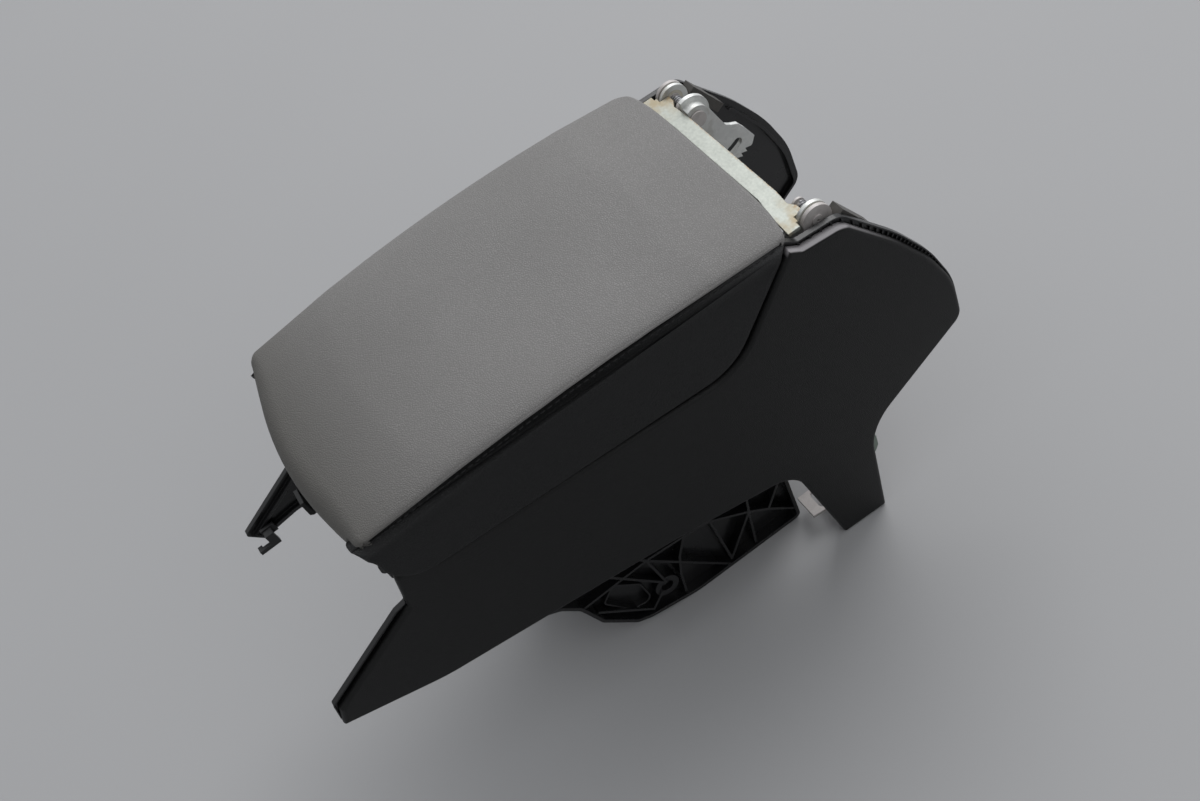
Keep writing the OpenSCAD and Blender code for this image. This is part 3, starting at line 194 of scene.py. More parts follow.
def cheek_corners(side):
    """Corners of a cheek skin; the right-hand one has a slimmer front tip."""
    front, rear, top = PAD_FRONT, LOBE_Y, PIVOT[1]
    if side > 0:
        tip = [(TIP_Y + 2.2, TIP_H, 1.5), (front - 13, BELLY_H + 22, 120)]
        fin_y, fin_h = 0.0, 0.0
    else:
        tip = [(TIP_Y + 12, TIP_H + 9.5, 1.5), (front - 34, TIP_H + 13, 20), (front + 20, BELLY_H + 22, 60)]
        fin_y, fin_h = -1.5, 4.0
    return tip + [
        (LEG_Y - 98, BELLY_H, 250), (LEG_Y - 15.9, BELLY_H - 16.5, 24),
        (LEG_Y, 0, 1.5), (LEG_Y + LEG_W, 0, 1.5), (LEG_Y + LEG_W + 7.7, BELLY_H - 24, 40),
        (rear + 1.7, BELLY_H + 21, 11), (rear + 1.7, top - 100, 70), (rear - 9.4, top - 70, 100),
        (rear - 26.9, top - 40.5, 150), (PIVOT[0] + 8.5, top - 3, 13), (PIVOT[0] - 18, top - 0.5, 5),
        (PAD_REAR + 1.5, SEAM_H - 7, 1), (LOW_REAR_Y + 1.5, LOW_REAR - 3, 43),
        (front + 28, LOW_FRONT - 5, 30), (front + 4.5, LOW_FRONT + 6.5, 4),
        (front - 1.3, LOW_FRONT - 23, 2), (front - 7.5, LOW_FRONT - 26.9, 1),
        (TIP_Y + 7.3 + fin_y, TIP_H + 14.2 + fin_h, 2),
    ]


# Mesh helpers


def add_piece(name, bm, material):
    """Makes an object of the mesh and puts it into the scene."""
    mesh = bpy.data.meshes.new(name)
    bmesh.ops.recalc_face_normals(bm, faces=bm.faces)
    bm.to_mesh(mesh)
    bm.free()
    for p in mesh.polygons:
        p.use_smooth = True
    obj = bpy.data.objects.new(name, mesh)
    bpy.context.scene.collection.objects.link(obj)
    mesh.materials.append(material)
    return obj


def bridge(bm, rings, closed_rings=True):
    """Quads between neighbouring rings of vertices."""
    n = len(rings[0])
    for a, b in zip(rings, rings[1:]):
        for i in range(n if closed_rings else n - 1):
            bm.faces.new((a[i], b[i], b[(i + 1) % n], a[(i + 1) % n]))


def border_distance(p, outline):
    """Distance from p to a closed outline, negative outside it."""
    best, inside = 1e9, False
    for a, b in zip(outline, outline[1:] + outline[:1]):
        e = b - a
        k = clamp((p - a).dot(e) / max(e.length_squared, 1e-12))
        best = min(best, (a + e * k - p).length)
        if (a.y > p.y) != (b.y > p.y) and p.x < a.x + e.x * (p.y - a.y) / e.y:
            inside = not inside
    return best if inside else -best


def fill_cap(bm, ring, outline, place, spacing):
    """Triangles inside a ring of vertices with the given flat outline, and a grid of points inside it."""
    n = len(outline)
    lo = Vector((min(p.x for p in outline), min(p.y for p in outline)))
    hi = Vector((max(p.x for p in outline), max(p.y for p in outline)))
    points, depth = list(outline), {}
    row, y = 0, lo.x + spacing / 2
    while y < hi.x:
        z = lo.y + spacing / (2 if row % 2 else 4)
        while z < hi.y:
            p = Vector((y, z))
            d = border_distance(p, outline)
            if d > spacing * 0.45:
                depth[len(points)] = d
                points.append(p)
            z += spacing
        row, y = row + 1, y + spacing * 0.87
    edges = [(i, (i + 1) % n) for i in range(n)]
    flat, _, faces, came_from, _, _ = delaunay_2d_cdt(points, edges, [], 1, 1e-5)
    verts = []
    for p, source in zip(flat, came_from):
        i = source[0] if source else None
        if i is not None and i < n:
            verts.append(ring[i])
        else:
            verts.append(bm.verts.new(to_m(place(p, depth.get(i, spacing)))))
    for f in faces:
        corner = [verts[k] for k in f]
        if len(set(corner)) == 3:
            bm.faces.new(corner)


def sharpen(bm, angle):
    """Marks the edges that are meant to stay crisp."""
    for e in bm.edges:
        e.smooth = len(e.link_faces) != 2 or e.calc_face_angle(0) < angle


def thicken(bm, amount):
    """Gives an open sheet, whose outer side faces up, a lower layer and a border."""
    bmesh.ops.recalc_face_normals(bm, faces=bm.faces)
    bm.normal_update()
    if sum(f.normal.z for f in bm.faces) < 0:
        bmesh.ops.reverse_faces(bm, faces=bm.faces[:])
        bm.normal_update()
    border = [e for e in bm.edges if len(e.link_faces) == 1]
    twin = {v: bm.verts.new(v.co - v.normal * amount) for v in bm.verts[:]}
    for f in bm.faces[:]:
        bm.faces.new([twin[v] for v in reversed(f.verts)])
    for e in border:
        a, b = e.link_loops[0].vert, e.link_loops[0].link_loop_next.vert
        bm.faces.new((b, a, twin[a], twin[b]))


# Leather pad


def bulge(t):
    """How far the pad's front stands forward at the fraction t of the half width."""
    return -BULGE * (1 - t * t)


def crown(t):
    """Height of the pad's top over its edge at the fraction t of the half width."""
    return CROWN * max(0.05, math.sqrt(max(0, 1 - abs(t) ** 3)))


def raised(q):
    """Lifts and widens the pad's upper part towards the middle of its length, so that the seam bows up."""
    u = (q.y - PAD_MID) / PAD_HALF
    high = clamp((q.z - SEAM_H + RISE_DEPTH) / RISE_DEPTH)
    k = max(0.0, 1 - u * u) * high * high
    if u > 0 and q.x > 0:
        k *= 1 - RISE_EASED * u * u * min(1.0, q.x / HALF_W)
    return Vector((q.x * (1 + k * SEAM_SWELL / HALF_W), q.y, q.z + k * SEAM_RISE))


def turn_in(s, r):
    """How far a round corner of radius r has turned in at the distance s before its end."""
    return r - math.sqrt(r * r - (r - max(0.0, s)) ** 2) if s < r else 0.0


def top_run(t):
    """Outline of the top leather at the fraction t of the half width, from its rear lip to its front lip."""
    edge_gap = HALF_W * (1 - abs(t))
    front = PAD_FRONT + bulge(t) + turn_in(edge_gap, CORNER_FRONT)
    rear = REAR_END + REAR_BULGE * (1 - t ** 6) - turn_in(edge_gap, CORNER_REAR[1 if t > 0 else -1])
    top = SEAM_H + COVER + crown(t)
    edge = SEAM_H + COVER + 0.45 * crown(t)
    rear_low, rear_edge, rear_top = (rear - 4.8, edge - 8), (rear, edge), (PAD_REAR - 45, top)
    front_top, front_edge, front_low = (front + 60, top), (front, edge), (front + 5, SEAM_H - 26)
    rear_radius, crown_radius, front_radius = 5, 120, 2 + 14 * crown(t) / CROWN
    steps, low_steps = 14, 8
    out = [Vector(rear_low)]
    out += corner_arc(rear_low, rear_edge, rear_top, rear_radius, steps)
    out += corner_arc(rear_edge, rear_top, front_top, crown_radius, steps)
    out += [Vector(rear_top).lerp(Vector(front_top), k / 30) for k in range(5, 26)]
    out += corner_arc(rear_top, front_top, front_edge, crown_radius, steps)
    out += corner_arc(front_top, front_edge, front_low, front_radius, steps)
    last = out[-1]
    out += [last.lerp(Vector(front_low), k / low_steps) for k in range(1, low_steps + 1)]
    return out


def soft_noise(p, scale, seed):
    """Smooth noise from -1 to 1 at the point p."""
    return noise.noise(Vector((p[0] * scale + seed, p[1] * scale, p[2] * scale)))


def tuck(q, p, t):
    """Moves the ends of the front lip behind the side panels, which wrap round them."""
    if abs(t) > TUCK_FROM and p.y < SEAM_H and p.x < 0:
        q.y += TUCK_BACK * min(1.0, (SEAM_H - p.y) / 1.5)
        if abs(t) > TUCK_ENDS:
            q.x -= math.copysign(TUCK_IN * min(1.0, (SEAM_H - p.y) / 0.8), t)


def seam_rows(bm, border, flat_border, side):
    """Rows of vertices along one side, in which the top leather turns down into the seam."""
    rows = [border]
    centre = Vector((0, PAD_MID, SEAM_H - 25))
    for out, down in ((0.45, 0.5), (0.5, 1.3), (0.1, 2.0), (-1.2, 2.4)):
        row = []
        for start, p in zip(flat_border, top_run(1.0)):
            lean = (Vector((0, p.x, p.y)) - centre).normalized()
            pucker = 0.12 * math.sin(p.x * 2 * math.pi / STITCH_PITCH)
            q = Vector((side * (HALF_W - EDGE_IN + out), p.x, p.y))
            q -= Vector((0, lean.y * 0.25, 1)) * (down + pucker)
            hidden = start - Vector((side * 0.3 * len(rows), 0, 0))
            q = hidden.lerp(q, clamp((p.y - SEAM_H - 0.8) / 1.2))
            row.append(bm.verts.new(to_m(raised(q))))
        rows.append(row)
    return rows


def pad_top_leather(material):
    """Grey top leather, taut over the foam, rolled into the seam along both sides."""
    fractions = [math.sin(math.pi / 2 * k / TOP_STRIPS) for k in range(-TOP_STRIPS, TOP_STRIPS + 1)]
    bm = bmesh.new()
    rings, flat_rings = [], []
    for t in fractions:
        flat_ring = []
        for p in top_run(t):
            q = Vector((t * (HALF_W - EDGE_IN), p.x, p.y))
            lift = 0.35 * soft_noise(q, 0.02, 3) + 0.12 * soft_noise(q, 0.09, 11)
            q.z += lift * min(1.0, (1 - abs(t)) * 8)
            tuck(q, p, t)
            flat_ring.append(q)
        rings.append([bm.verts.new(to_m(raised(q))) for q in flat_ring])
        flat_rings.append(flat_ring)
    for side, k in ((-1, 0), (1, -1)):
        bridge(bm, seam_rows(bm, rings[k], flat_rings[k], side), closed_rings=False)
    bridge(bm, rings, closed_rings=False)
    thicken(bm, LEATHER_THICK / 1000)
    obj = add_piece("pad_top_leather", bm, material)
    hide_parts("pad_top_cover", "pad_foam")
    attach(obj, "pad")


def side_corners():
    """Corners of a side panel laid flat, with the strips that wrap round the pad's ends."""
    front = PAD_FRONT - WRAP_FRONT
    rear = PAD_REAR + WRAP_REAR
    edge_y, top = PAD_FRONT + 2.6, SEAM_H - 1.0
    return [
        (edge_y, LOW_FRONT, 38), (LOW_REAR_Y, LOW_REAR, 40), (rear - 5.5, SEAM_H - 12, 1),
        (rear, top, 0.6), (front, top, 0.6), (front + 1, SEAM_H - 7, 4), (edge_y, SEAM_H - 17, 8),
    ]


def wrapped(side, y, z, out):
    """A point of the side panel, which bends round the front and rear corners of the pad."""
    for sense, end, r in ((-1, PAD_FRONT, CORNER_FRONT), (1, REAR_END, CORNER_REAR[side])):
        s = sense * (y - end) + r
        if s > 0:
            a = min(s / r, math.pi / 2)
            inward = r * (1 - math.cos(a)) + max(0.0, s - r * math.pi / 2)
            t = 1 - inward / HALF_W
            swell = bulge(t) if sense < 0 else REAR_BULGE * (1 - t ** 6)
            along = sense * (r * math.sin(a) - r + (out + 0.3) * math.sin(a))
            across = side * (HALF_W - inward + out * math.cos(a))
            return Vector((across, end + swell * math.sin(a) + along, z))
    return Vector((side * (HALF_W + out), y, z))


def pad_side_leather(name, side, material):
    """Black side panel: a plump roll under the seam, a shallow dip below it, taut further down."""
    bm = bmesh.new()
    levels = [
        (2.4, -3.6), (0.8, -3.4), (0.15, -3.0), (0.0, -2.3), (0.35, -1.3),
        (0.9, -0.55), (1.7, 0.0), (2.8, 0.4), (4.2, 0.6)]
    back_out, (face_inset, face_out) = levels[0][1], levels[-1]
    outlines = [rounded(inset(side_corners(), d), 14, 0.82) for d, _ in levels]

    def puffed(p, d, out):
        dip = 0.45 * math.exp(-(((SEAM_H - 11 - p.y) / 4.5) ** 2)) * min(1.0, max(0.0, d - 4) / 3)
        gather = 0.12 * (1 + math.sin(p.x * 2 * math.pi / STITCH_PITCH)) * max(0, 1 - (SEAM_H - p.y) / 6)
        q = wrapped(side, p.x, p.y, out - dip - gather)
        q.x += side * 0.15 * soft_noise(q, 0.045, 5)
        return raised(q)

    rings = [
        [bm.verts.new(to_m(puffed(p, 0, out))) for p in outline]
        for outline, (_, out) in zip(outlines, levels)]
    bridge(bm, rings)
    fill_cap(bm, rings[0], outlines[0], lambda p, d: wrapped(side, p.x, p.y, back_out), 6)
    fill_cap(bm, rings[-1], outlines[-1], lambda p, d: puffed(p, d + face_inset, face_out), 3)
    obj = add_piece(name, bm, material)
    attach(obj, "pad")
    return obj


def stitches(name, side, material):
    """Row of sunk thread stitches just under the seam, following the side panel's top edge."""
    bm = bmesh.new()
    steps, sides = 6, 8
    y = PAD_FRONT + 4.5
    z = SEAM_H - 1.5
    x = side * (HALF_W - 0.15)
    while y < PAD_REAR - 5:
        tilt = rng.uniform(-0.05, 0.05)
        rings = []
        for k in range(steps + 1):
            a = math.pi * k / steps
            s = -math.cos(a)
            r = STITCH_RADIUS * (0.35 + 0.65 * math.sin(a))
            mid = Vector((x + side * 0.16 * math.sin(a), y + s * STITCH_LENGTH / 2, z + s * tilt))
            rings.append([
                bm.verts.new(to_m(raised(mid + Vector((r * math.cos(b), 0, r * math.sin(b))))))
                for b in (math.pi * 2 * j / sides for j in range(sides))])
        bridge(bm, rings)
        bm.faces.new(rings[0])
        bm.faces.new(rings[-1])
        y += STITCH_PITCH
    obj = add_piece(name, bm, material)
    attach(obj, "pad")


# Cheeks


def cheek_point(side, depth, y, z):
    """A point at the depth under the toed-in outer face of a cheek."""
    dy = y - LOBE_Y
    x = LOBE_HALF - depth * math.cos(TOE_IN) + dy * math.sin(TOE_IN)
    return Vector((side * x, LOBE_Y + dy * math.cos(TOE_IN) + depth * math.sin(TOE_IN), z))


def cheek_panel(name, side, material):
    """Moulded outer skin with a rolled edge and a turned rim."""
    corners = cheek_corners(side)
    roll, wall, rim, steps = CHEEK_ROLL, CHEEK_WALL, CHEEK_RIM, 8
    levels = [(wall, roll + 1.5), (wall, wall), (rim, wall), (rim, 0.25), (rim - 0.25, 0)]
    for k in range(steps + 1):
        a = math.pi / 2 * k / steps
        levels.append((roll * (1 - math.sin(a)), roll * (1 - math.cos(a))))
    bm = bmesh.new()
    outlines = [rounded(inset(corners, d)) for _, d in levels]
    rings = [
        [bm.verts.new(to_m(cheek_point(side, depth, p.x, p.y))) for p in outline]
        for outline, (depth, _) in zip(outlines, levels)]
    bridge(bm, rings)
    for k in (0, -1):
        depth = levels[k][0]
        fill_cap(bm, rings[k], outlines[k], lambda p, d: cheek_point(side, depth, p.x, p.y), 14)
    bmesh.ops.recalc_face_normals(bm, faces=bm.faces)
    sharpen(bm, math.radians(50))
    obj = add_piece(name, bm, material)
    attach(obj, "base")
    return obj


# Materials


def new_group(name, inputs, outputs):
    """A node group with its input and output nodes."""
    g = bpy.data.node_groups.new(name, "ShaderNodeTree")
    for label, kind, value in inputs:
        s = g.interface.new_socket(label, in_out="INPUT", socket_type=kind)
        if value is not None:
            s.default_value = value
    for label, kind in outputs:
        g.interface.new_socket(label, in_out="OUTPUT", socket_type=kind)
    return g, g.nodes.new("NodeGroupInput"), g.nodes.new("NodeGroupOutput")


def node(tree, kind, **values):
    """A new node with the given values in the inputs of those names."""
    n = tree.nodes.new(kind)
    for key, value in values.items():
        n.inputs[key.title()].default_value = value
    return n


def math_node(tree, op, a, b=None, clamped=False):
    """Output of a math node; a and b are numbers or sockets."""
    n = tree.nodes.new("ShaderNodeMath")
    n.operation = op
    n.use_clamp = clamped
    for i, v in enumerate((a, b)):
        if v is None:
            continue
        if hasattr(v, "node"):
            tree.links.new(v, n.inputs[i])
        else:
            n.inputs[i].default_value = v
    return n.outputs[0]


def ramp(tree, fac, low, high):
    """Maps fac from low..high to 0..1, clamped."""
    n = tree.nodes.new("ShaderNodeMapRange")
    tree.links.new(fac, n.inputs["Value"])
    n.inputs["From Min"].default_value = low
    n.inputs["From Max"].default_value = high
    return n.outputs["Result"]


def mix_color(tree, fac, a, b):
    """Colour between a and b by the share fac; each is a value or a socket."""
    n = tree.nodes.new("ShaderNodeMix")
    n.data_type = "RGBA"
    for socket, v in ((n.inputs[0], fac), (n.inputs[6], a), (n.inputs[7], b)):
        if hasattr(v, "node"):
            tree.links.new(v, socket)
        else:
            socket.default_value = v if not isinstance(v, tuple) or len(v) == 4 else (*v, 1)
    return n.outputs[2]


def leather_grain_group():
    """Pebbled grain: rounded cells of two sizes with fine wrinkles. Gives a height and a pore mask."""
    t, i, o = new_group(
        "leather_grain",
        [("Vector", "NodeSocketVector", None), ("Cells", "NodeSocketFloat", 900.0)],
        [("Height", "NodeSocketFloat"), ("Pores", "NodeSocketFloat")])
    warp = node(t, "ShaderNodeTexNoise", scale=260.0, detail=2.0)
    t.links.new(i.outputs["Vector"], warp.inputs["Vector"])
    add = t.nodes.new("ShaderNodeVectorMath")
    add.operation = "MULTIPLY_ADD"
    t.links.new(warp.outputs["Color"], add.inputs[0])
    add.inputs[1].default_value = (0.0009, 0.0009, 0.0009)
    t.links.new(i.outputs["Vector"], add.inputs[2])
    cells = t.nodes.new("ShaderNodeTexVoronoi")
    cells.feature = "DISTANCE_TO_EDGE"
    t.links.new(add.outputs[0], cells.inputs["Vector"])
    t.links.new(i.outputs["Cells"], cells.inputs["Scale"])
    dome = ramp(t, cells.outputs["Distance"], 0.0, 0.22)
    small = t.nodes.new("ShaderNodeTexVoronoi")
    small.feature = "F1"
    t.links.new(add.outputs[0], small.inputs["Vector"])
    t.links.new(math_node(t, "MULTIPLY", i.outputs["Cells"], 2.3), small.inputs["Scale"])
    fine = node(t, "ShaderNodeTexNoise", scale=2600.0, detail=3.0)
    t.links.new(i.outputs["Vector"], fine.inputs["Vector"])
    pebbles = math_node(t, "MULTIPLY", dome, 0.7)
    wrinkles = math_node(t, "MULTIPLY", small.outputs["Distance"], 0.22)
    h = math_node(t, "ADD", pebbles, wrinkles)
    h = math_node(t, "ADD", h, math_node(t, "MULTIPLY", fine.outputs["Fac"], 0.18))
    t.links.new(h, o.inputs["Height"])
    t.links.new(math_node(t, "SUBTRACT", 1.0, dome, True), o.inputs["Pores"])
    return t


def blotch_group():
    """Slow tone change and small dust specks, from object coordinates."""
    g, i, o = new_group(
        "blotches",
        [("Vector", "NodeSocketVector", None), ("Scale", "NodeSocketFloat", 12.0)],
        [("Tone", "NodeSocketFloat"), ("Specks", "NodeSocketFloat")])
    slow = node(g, "ShaderNodeTexNoise", detail=3.0)
    g.links.new(i.outputs["Vector"], slow.inputs["Vector"])
    g.links.new(i.outputs["Scale"], slow.inputs["Scale"])
    g.links.new(ramp(g, slow.outputs["Fac"], 0.3, 0.7), o.inputs["Tone"])
    dots = g.nodes.new("ShaderNodeTexVoronoi")
    g.links.new(i.outputs["Vector"], dots.inputs["Vector"])
    dots.inputs["Scale"].default_value = 240.0
    few = node(g, "ShaderNodeTexNoise", scale=60.0)
    g.links.new(i.outputs["Vector"], few.inputs["Vector"])
    near = ramp(g, dots.outputs["Distance"], 0.11, 0.06)
    g.links.new(math_node(g, "MULTIPLY", near, ramp(g, few.outputs["Fac"], 0.6, 0.66)), o.inputs["Specks"])
    return g


GRAIN = leather_grain_group()
BLOTCH = blotch_group()


def use_group(tree, group, vector, **values):
    """A node that runs a group on the coordinates given."""
    n = tree.nodes.new("ShaderNodeGroup")
    n.node_tree = group
    tree.links.new(vector, n.inputs["Vector"])
    for key, value in values.items():
        n.inputs[key.title()].default_value = value
    return n


def start_material(name, roughness, metallic=0.0):
    """A material with its tree, shader and object coordinates."""
    m = bpy.data.materials.new(name)
    m.use_nodes = True
    t = m.node_tree
    bsdf = t.nodes["Principled BSDF"]
    bsdf.inputs["Roughness"].default_value = roughness
    bsdf.inputs["Metallic"].default_value = metallic
    coords = t.nodes.new("ShaderNodeTexCoord").outputs["Object"]
    return m, t, bsdf, coords


def bump(tree, bsdf, height, distance, normal=None):
    """Raises the surface by the height, up to the distance in metres."""
    b = tree.nodes.new("ShaderNodeBump")
    b.inputs["Strength"].default_value = 1.0
    b.inputs["Distance"].default_value = distance
    tree.links.new(height, b.inputs["Height"])
    if normal is not None:
        tree.links.new(normal, b.inputs["Normal"])
    tree.links.new(b.outputs["Normal"], bsdf.inputs["Normal"])


def soft_edges(tree, radius):
    """Normals that round off sharp edges by the radius in metres."""
    b = tree.nodes.new("ShaderNodeBevel")
    b.samples = 4
    b.inputs["Radius"].default_value = radius
    return b.outputs["Normal"]


def below_bow(tree, sep):
    """Height as it would be if the seam didn't bow up towards the middle of the pad's length."""
    from_mid = math_node(tree, "SUBTRACT", sep.outputs["Y"], PAD_MID / 1000)
    u = math_node(tree, "DIVIDE", from_mid, PAD_HALF / 1000)
    share = math_node(tree, "SUBTRACT", 1.0, math_node(tree, "MULTIPLY", u, u), True)
    rise = math_node(tree, "MULTIPLY", share, SEAM_RISE / 1000)
    return math_node(tree, "SUBTRACT", sep.outputs["Z"], rise)


def leather(name, light, dark, cells, roughness, height, shine, painted_light_tone, axis, span, fade):
    """Grained leather whose colour turns along an axis over the span to a painted light tone, and back over
    the fade: darker for painted shade, paler for a painted sheen.
    """
    m, t, bsdf, co = start_material(name, roughness)
    grain = use_group(t, GRAIN, co, cells=cells)
    blotch = use_group(t, BLOTCH, co, scale=9.0)
    tone = mix_color(t, blotch.outputs["Tone"], dark, light)
    sep = t.nodes.new("ShaderNodeSeparateXYZ")
    t.links.new(co, sep.inputs[0])
    place = below_bow(t, sep) if axis == "Z" else sep.outputs[axis]
    # Painted light: the share of the painted tone along the axis (shade on the top leather, sheen on the side
    # panels).
    painted_light_share = ramp(t, place, span[0] / 1000, span[1] / 1000)
    painted_light_share = math_node(t, "POWER", painted_light_share, 2.8)
    if fade:
        painted_light_share = math_node(t, "MULTIPLY", painted_light_share, ramp(t, place, fade[0] / 1000, fade[1] / 1000))
    tone = mix_color(t, painted_light_share, tone, painted_light_tone)
    pores = math_node(t, "MULTIPLY", grain.outputs["Pores"], 0.35)
    pored = mix_color(t, pores, tone, tuple(c * 0.55 for c in dark))
    t.links.new(pored, bsdf.inputs["Base Color"])
    rough = math_node(t, "ADD", math_node(t, "MULTIPLY", grain.outputs["Pores"], 0.16), roughness)
    t.links.new(rough, bsdf.inputs["Roughness"])
    bsdf.inputs["Specular IOR Level"].default_value = shine
    bump(t, bsdf, grain.outputs["Height"], height)
    return m


def moulded(name, color, roughness, edge, specks=0.0, scratches=0.0):
    """Moulded plastic or rubber with softened edges, dust and a little uneven gloss."""
    m, t, bsdf, co = start_material(name, roughness)
    blotch = use_group(t, BLOTCH, co, scale=14.0)
    darker = tuple(c * 0.86 for c in color)
    tone = mix_color(t, blotch.outputs["Tone"], darker, color)
    if specks:
        dust = tuple(min(1, c + 0.16) for c in color)
        tone = mix_color(t, math_node(t, "MULTIPLY", blotch.outputs["Specks"], specks), tone, dust)
    t.links.new(tone, bsdf.inputs["Base Color"])
    smear = node(t, "ShaderNodeTexNoise", scale=35.0, detail=4.0)
    t.links.new(co, smear.inputs["Vector"])
    uneven = math_node(t, "MULTIPLY", ramp(t, smear.outputs["Fac"], 0.35, 0.7), 0.10)
    rough = math_node(t, "ADD", uneven, roughness - 0.03)
    t.links.new(rough, bsdf.inputs["Roughness"])
    normal = soft_edges(t, edge) if edge else None
    if scratches:
        hair = node(t, "ShaderNodeTexNoise", scale=90.0, detail=5.0)
        t.links.new(co, hair.inputs["Vector"])
        bump(t, bsdf, hair.outputs["Fac"], scratches, normal=normal)
    elif normal is not None:
        t.links.new(normal, bsdf.inputs["Normal"])
    return m


def metal(name, color, stain, roughness, metallic):
    """Plated steel: mottled plating, stains and a soft brushed bump."""
    m, t, bsdf, co = start_material(name, roughness, metallic)
    cloud = node(t, "ShaderNodeTexNoise", scale=70.0, detail=5.0)
    t.links.new(co, cloud.inputs["Vector"])
    spangle = t.nodes.new("ShaderNodeTexVoronoi")
    spangle.inputs["Scale"].default_value = 420.0
    t.links.new(co, spangle.inputs["Vector"])
    shade = tuple(c * 0.72 for c in color)
    base = mix_color(t, math_node(t, "MULTIPLY", spangle.outputs["Color"], 0.45), color, shade)
    mask = math_node(t, "MULTIPLY", ramp(t, cloud.outputs["Fac"], 0.55, 0.72), 0.5)
    t.links.new(mix_color(t, mask, base, stain), bsdf.inputs["Base Color"])
    rough = math_node(t, "ADD", math_node(t, "MULTIPLY", cloud.outputs["Fac"], 0.25), roughness - 0.1)
    t.links.new(rough, bsdf.inputs["Roughness"])
    scratch = node(t, "ShaderNodeTexNoise", scale=900.0, detail=4.0)
    t.links.new(co, scratch.inputs["Vector"])
    bump(t, bsdf, scratch.outputs["Fac"], 0.00004, normal=soft_edges(t, 0.0004))
    return m


def bar_metal():
    """Zinc-plated crossbar: pale, with brown stains near its ends and a thin rusty line at its rear edge."""
    m, t, bsdf, co = start_material("bar_zinc", 0.38, 0.35)
    sep = t.nodes.new("ShaderNodeSeparateXYZ")
    t.links.new(co, sep.inputs[0])
    cloud = node(t, "ShaderNodeTexNoise", scale=110.0, detail=6.0)
    t.links.new(co, cloud.inputs["Vector"])
    fine = node(t, "ShaderNodeTexNoise", scale=520.0, detail=3.0)
    t.links.new(co, fine.inputs["Vector"])
    ends = ramp(t, math_node(t, "ABSOLUTE", sep.outputs["X"]), 0.048, 0.070)
    stains = math_node(t, "MULTIPLY", ends, ramp(t, cloud.outputs["Fac"], 0.42, 0.62))
    rear = ramp(t, sep.outputs["Y"], (PIVOT[0] - 5.9) / 1000, (PIVOT[0] - 5.2) / 1000)
    line = math_node(t, "MULTIPLY", rear, ramp(t, fine.outputs["Fac"], 0.35, 0.6))
    pale, paler = (0.36, 0.38, 0.345), (0.45, 0.47, 0.425)
    brown, rust = (0.34, 0.26, 0.14), (0.30, 0.20, 0.10)
    base = mix_color(t, ramp(t, fine.outputs["Fac"], 0.3, 0.75), pale, paler)
    worn = mix_color(t, math_node(t, "MULTIPLY", stains, 0.75), base, brown)
    worn = mix_color(t, math_node(t, "MULTIPLY", line, 0.7), worn, rust)
    t.links.new(worn, bsdf.inputs["Base Color"])
    rough = math_node(t, "ADD", math_node(t, "MULTIPLY", cloud.outputs["Fac"], 0.3), 0.22)
    t.links.new(rough, bsdf.inputs["Roughness"])
    bump(t, bsdf, fine.outputs["Fac"], 0.00005, normal=soft_edges(t, 0.0005))
    return m


def skin_material(color, roughness):
    """Grained trim skin; where its rolled edge faces up in front of the lobe's peak it is smooth and satin,
    with a pale painted highlight.
    """
    m, t, bsdf, co = start_material("skin_grained", roughness)
    blotch = use_group(t, BLOTCH, co, scale=14.0)
    tone = mix_color(t, blotch.outputs["Tone"], tuple(c * 0.86 for c in color), color)
    sep = t.nodes.new("ShaderNodeSeparateXYZ")
    t.links.new(co, sep.inputs[0])
    face = t.nodes.new("ShaderNodeSeparateXYZ")
    t.links.new(t.nodes.new("ShaderNodeTexCoord").outputs["Normal"], face.inputs[0])
    # Painted highlight: the high, up-facing part of the rolled edge, from the pad's rear to the lobe, is
    # painted pale.
    upward = ramp(t, face.outputs["Z"], 0.42, 0.62)
    along = sep.outputs["Y"]
    start = ramp(t, along, (PAD_REAR - 1) / 1000, (PAD_REAR + 1.5) / 1000)
    bright = ramp(t, along, (LOBE_Y - 12) / 1000, (PIVOT[0] + 6) / 1000)
    faint = math_node(t, "MULTIPLY", ramp(t, along, (LOBE_Y + 2) / 1000, (LOBE_Y - 12) / 1000), 0.4)
    painted_highlight_along = math_node(t, "MAXIMUM", bright, faint)
    high = ramp(t, sep.outputs["Z"], (PIVOT[1] - 60) / 1000, (PIVOT[1] - 20) / 1000)
    on_top = math_node(t, "MULTIPLY", upward, high)
    edge = math_node(t, "MULTIPLY", on_top, math_node(t, "MULTIPLY", start, painted_highlight_along))
    # The pale colour here is the painted highlight on the rolled edge.
    painted_light_tone = mix_color(t, math_node(t, "MULTIPLY", edge, 0.9), tone, (0.46, 0.44, 0.45))
    t.links.new(painted_light_tone, bsdf.inputs["Base Color"])
    smoother = math_node(t, "SUBTRACT", roughness, math_node(t, "MULTIPLY", edge, 0.14))
    t.links.new(smoother, bsdf.inputs["Roughness"])
    bsdf.inputs["Specular IOR Level"].default_value = 0.3
    grain = use_group(t, GRAIN, co, cells=950.0)
    height = math_node(t, "MULTIPLY", grain.outputs["Height"], math_node(t, "SUBTRACT", 1.0, edge))
    bump(t, bsdf, height, 0.00014, normal=soft_edges(t, 0.0004))
    return m


def floor_material():
    """Pale, matt paper."""
    m, t, bsdf, co = start_material("floor_grey", 0.75)
    cloud = node(t, "ShaderNodeTexNoise", scale=2.0, detail=2.0)
    t.links.new(co, cloud.inputs["Vector"])
    tone = mix_color(t, cloud.outputs["Fac"], (0.39, 0.39, 0.395), (0.41, 0.41, 0.415))
    t.links.new(tone, bsdf.inputs["Base Color"])
    bsdf.inputs["Specular IOR Level"].default_value = 0.2
    return m
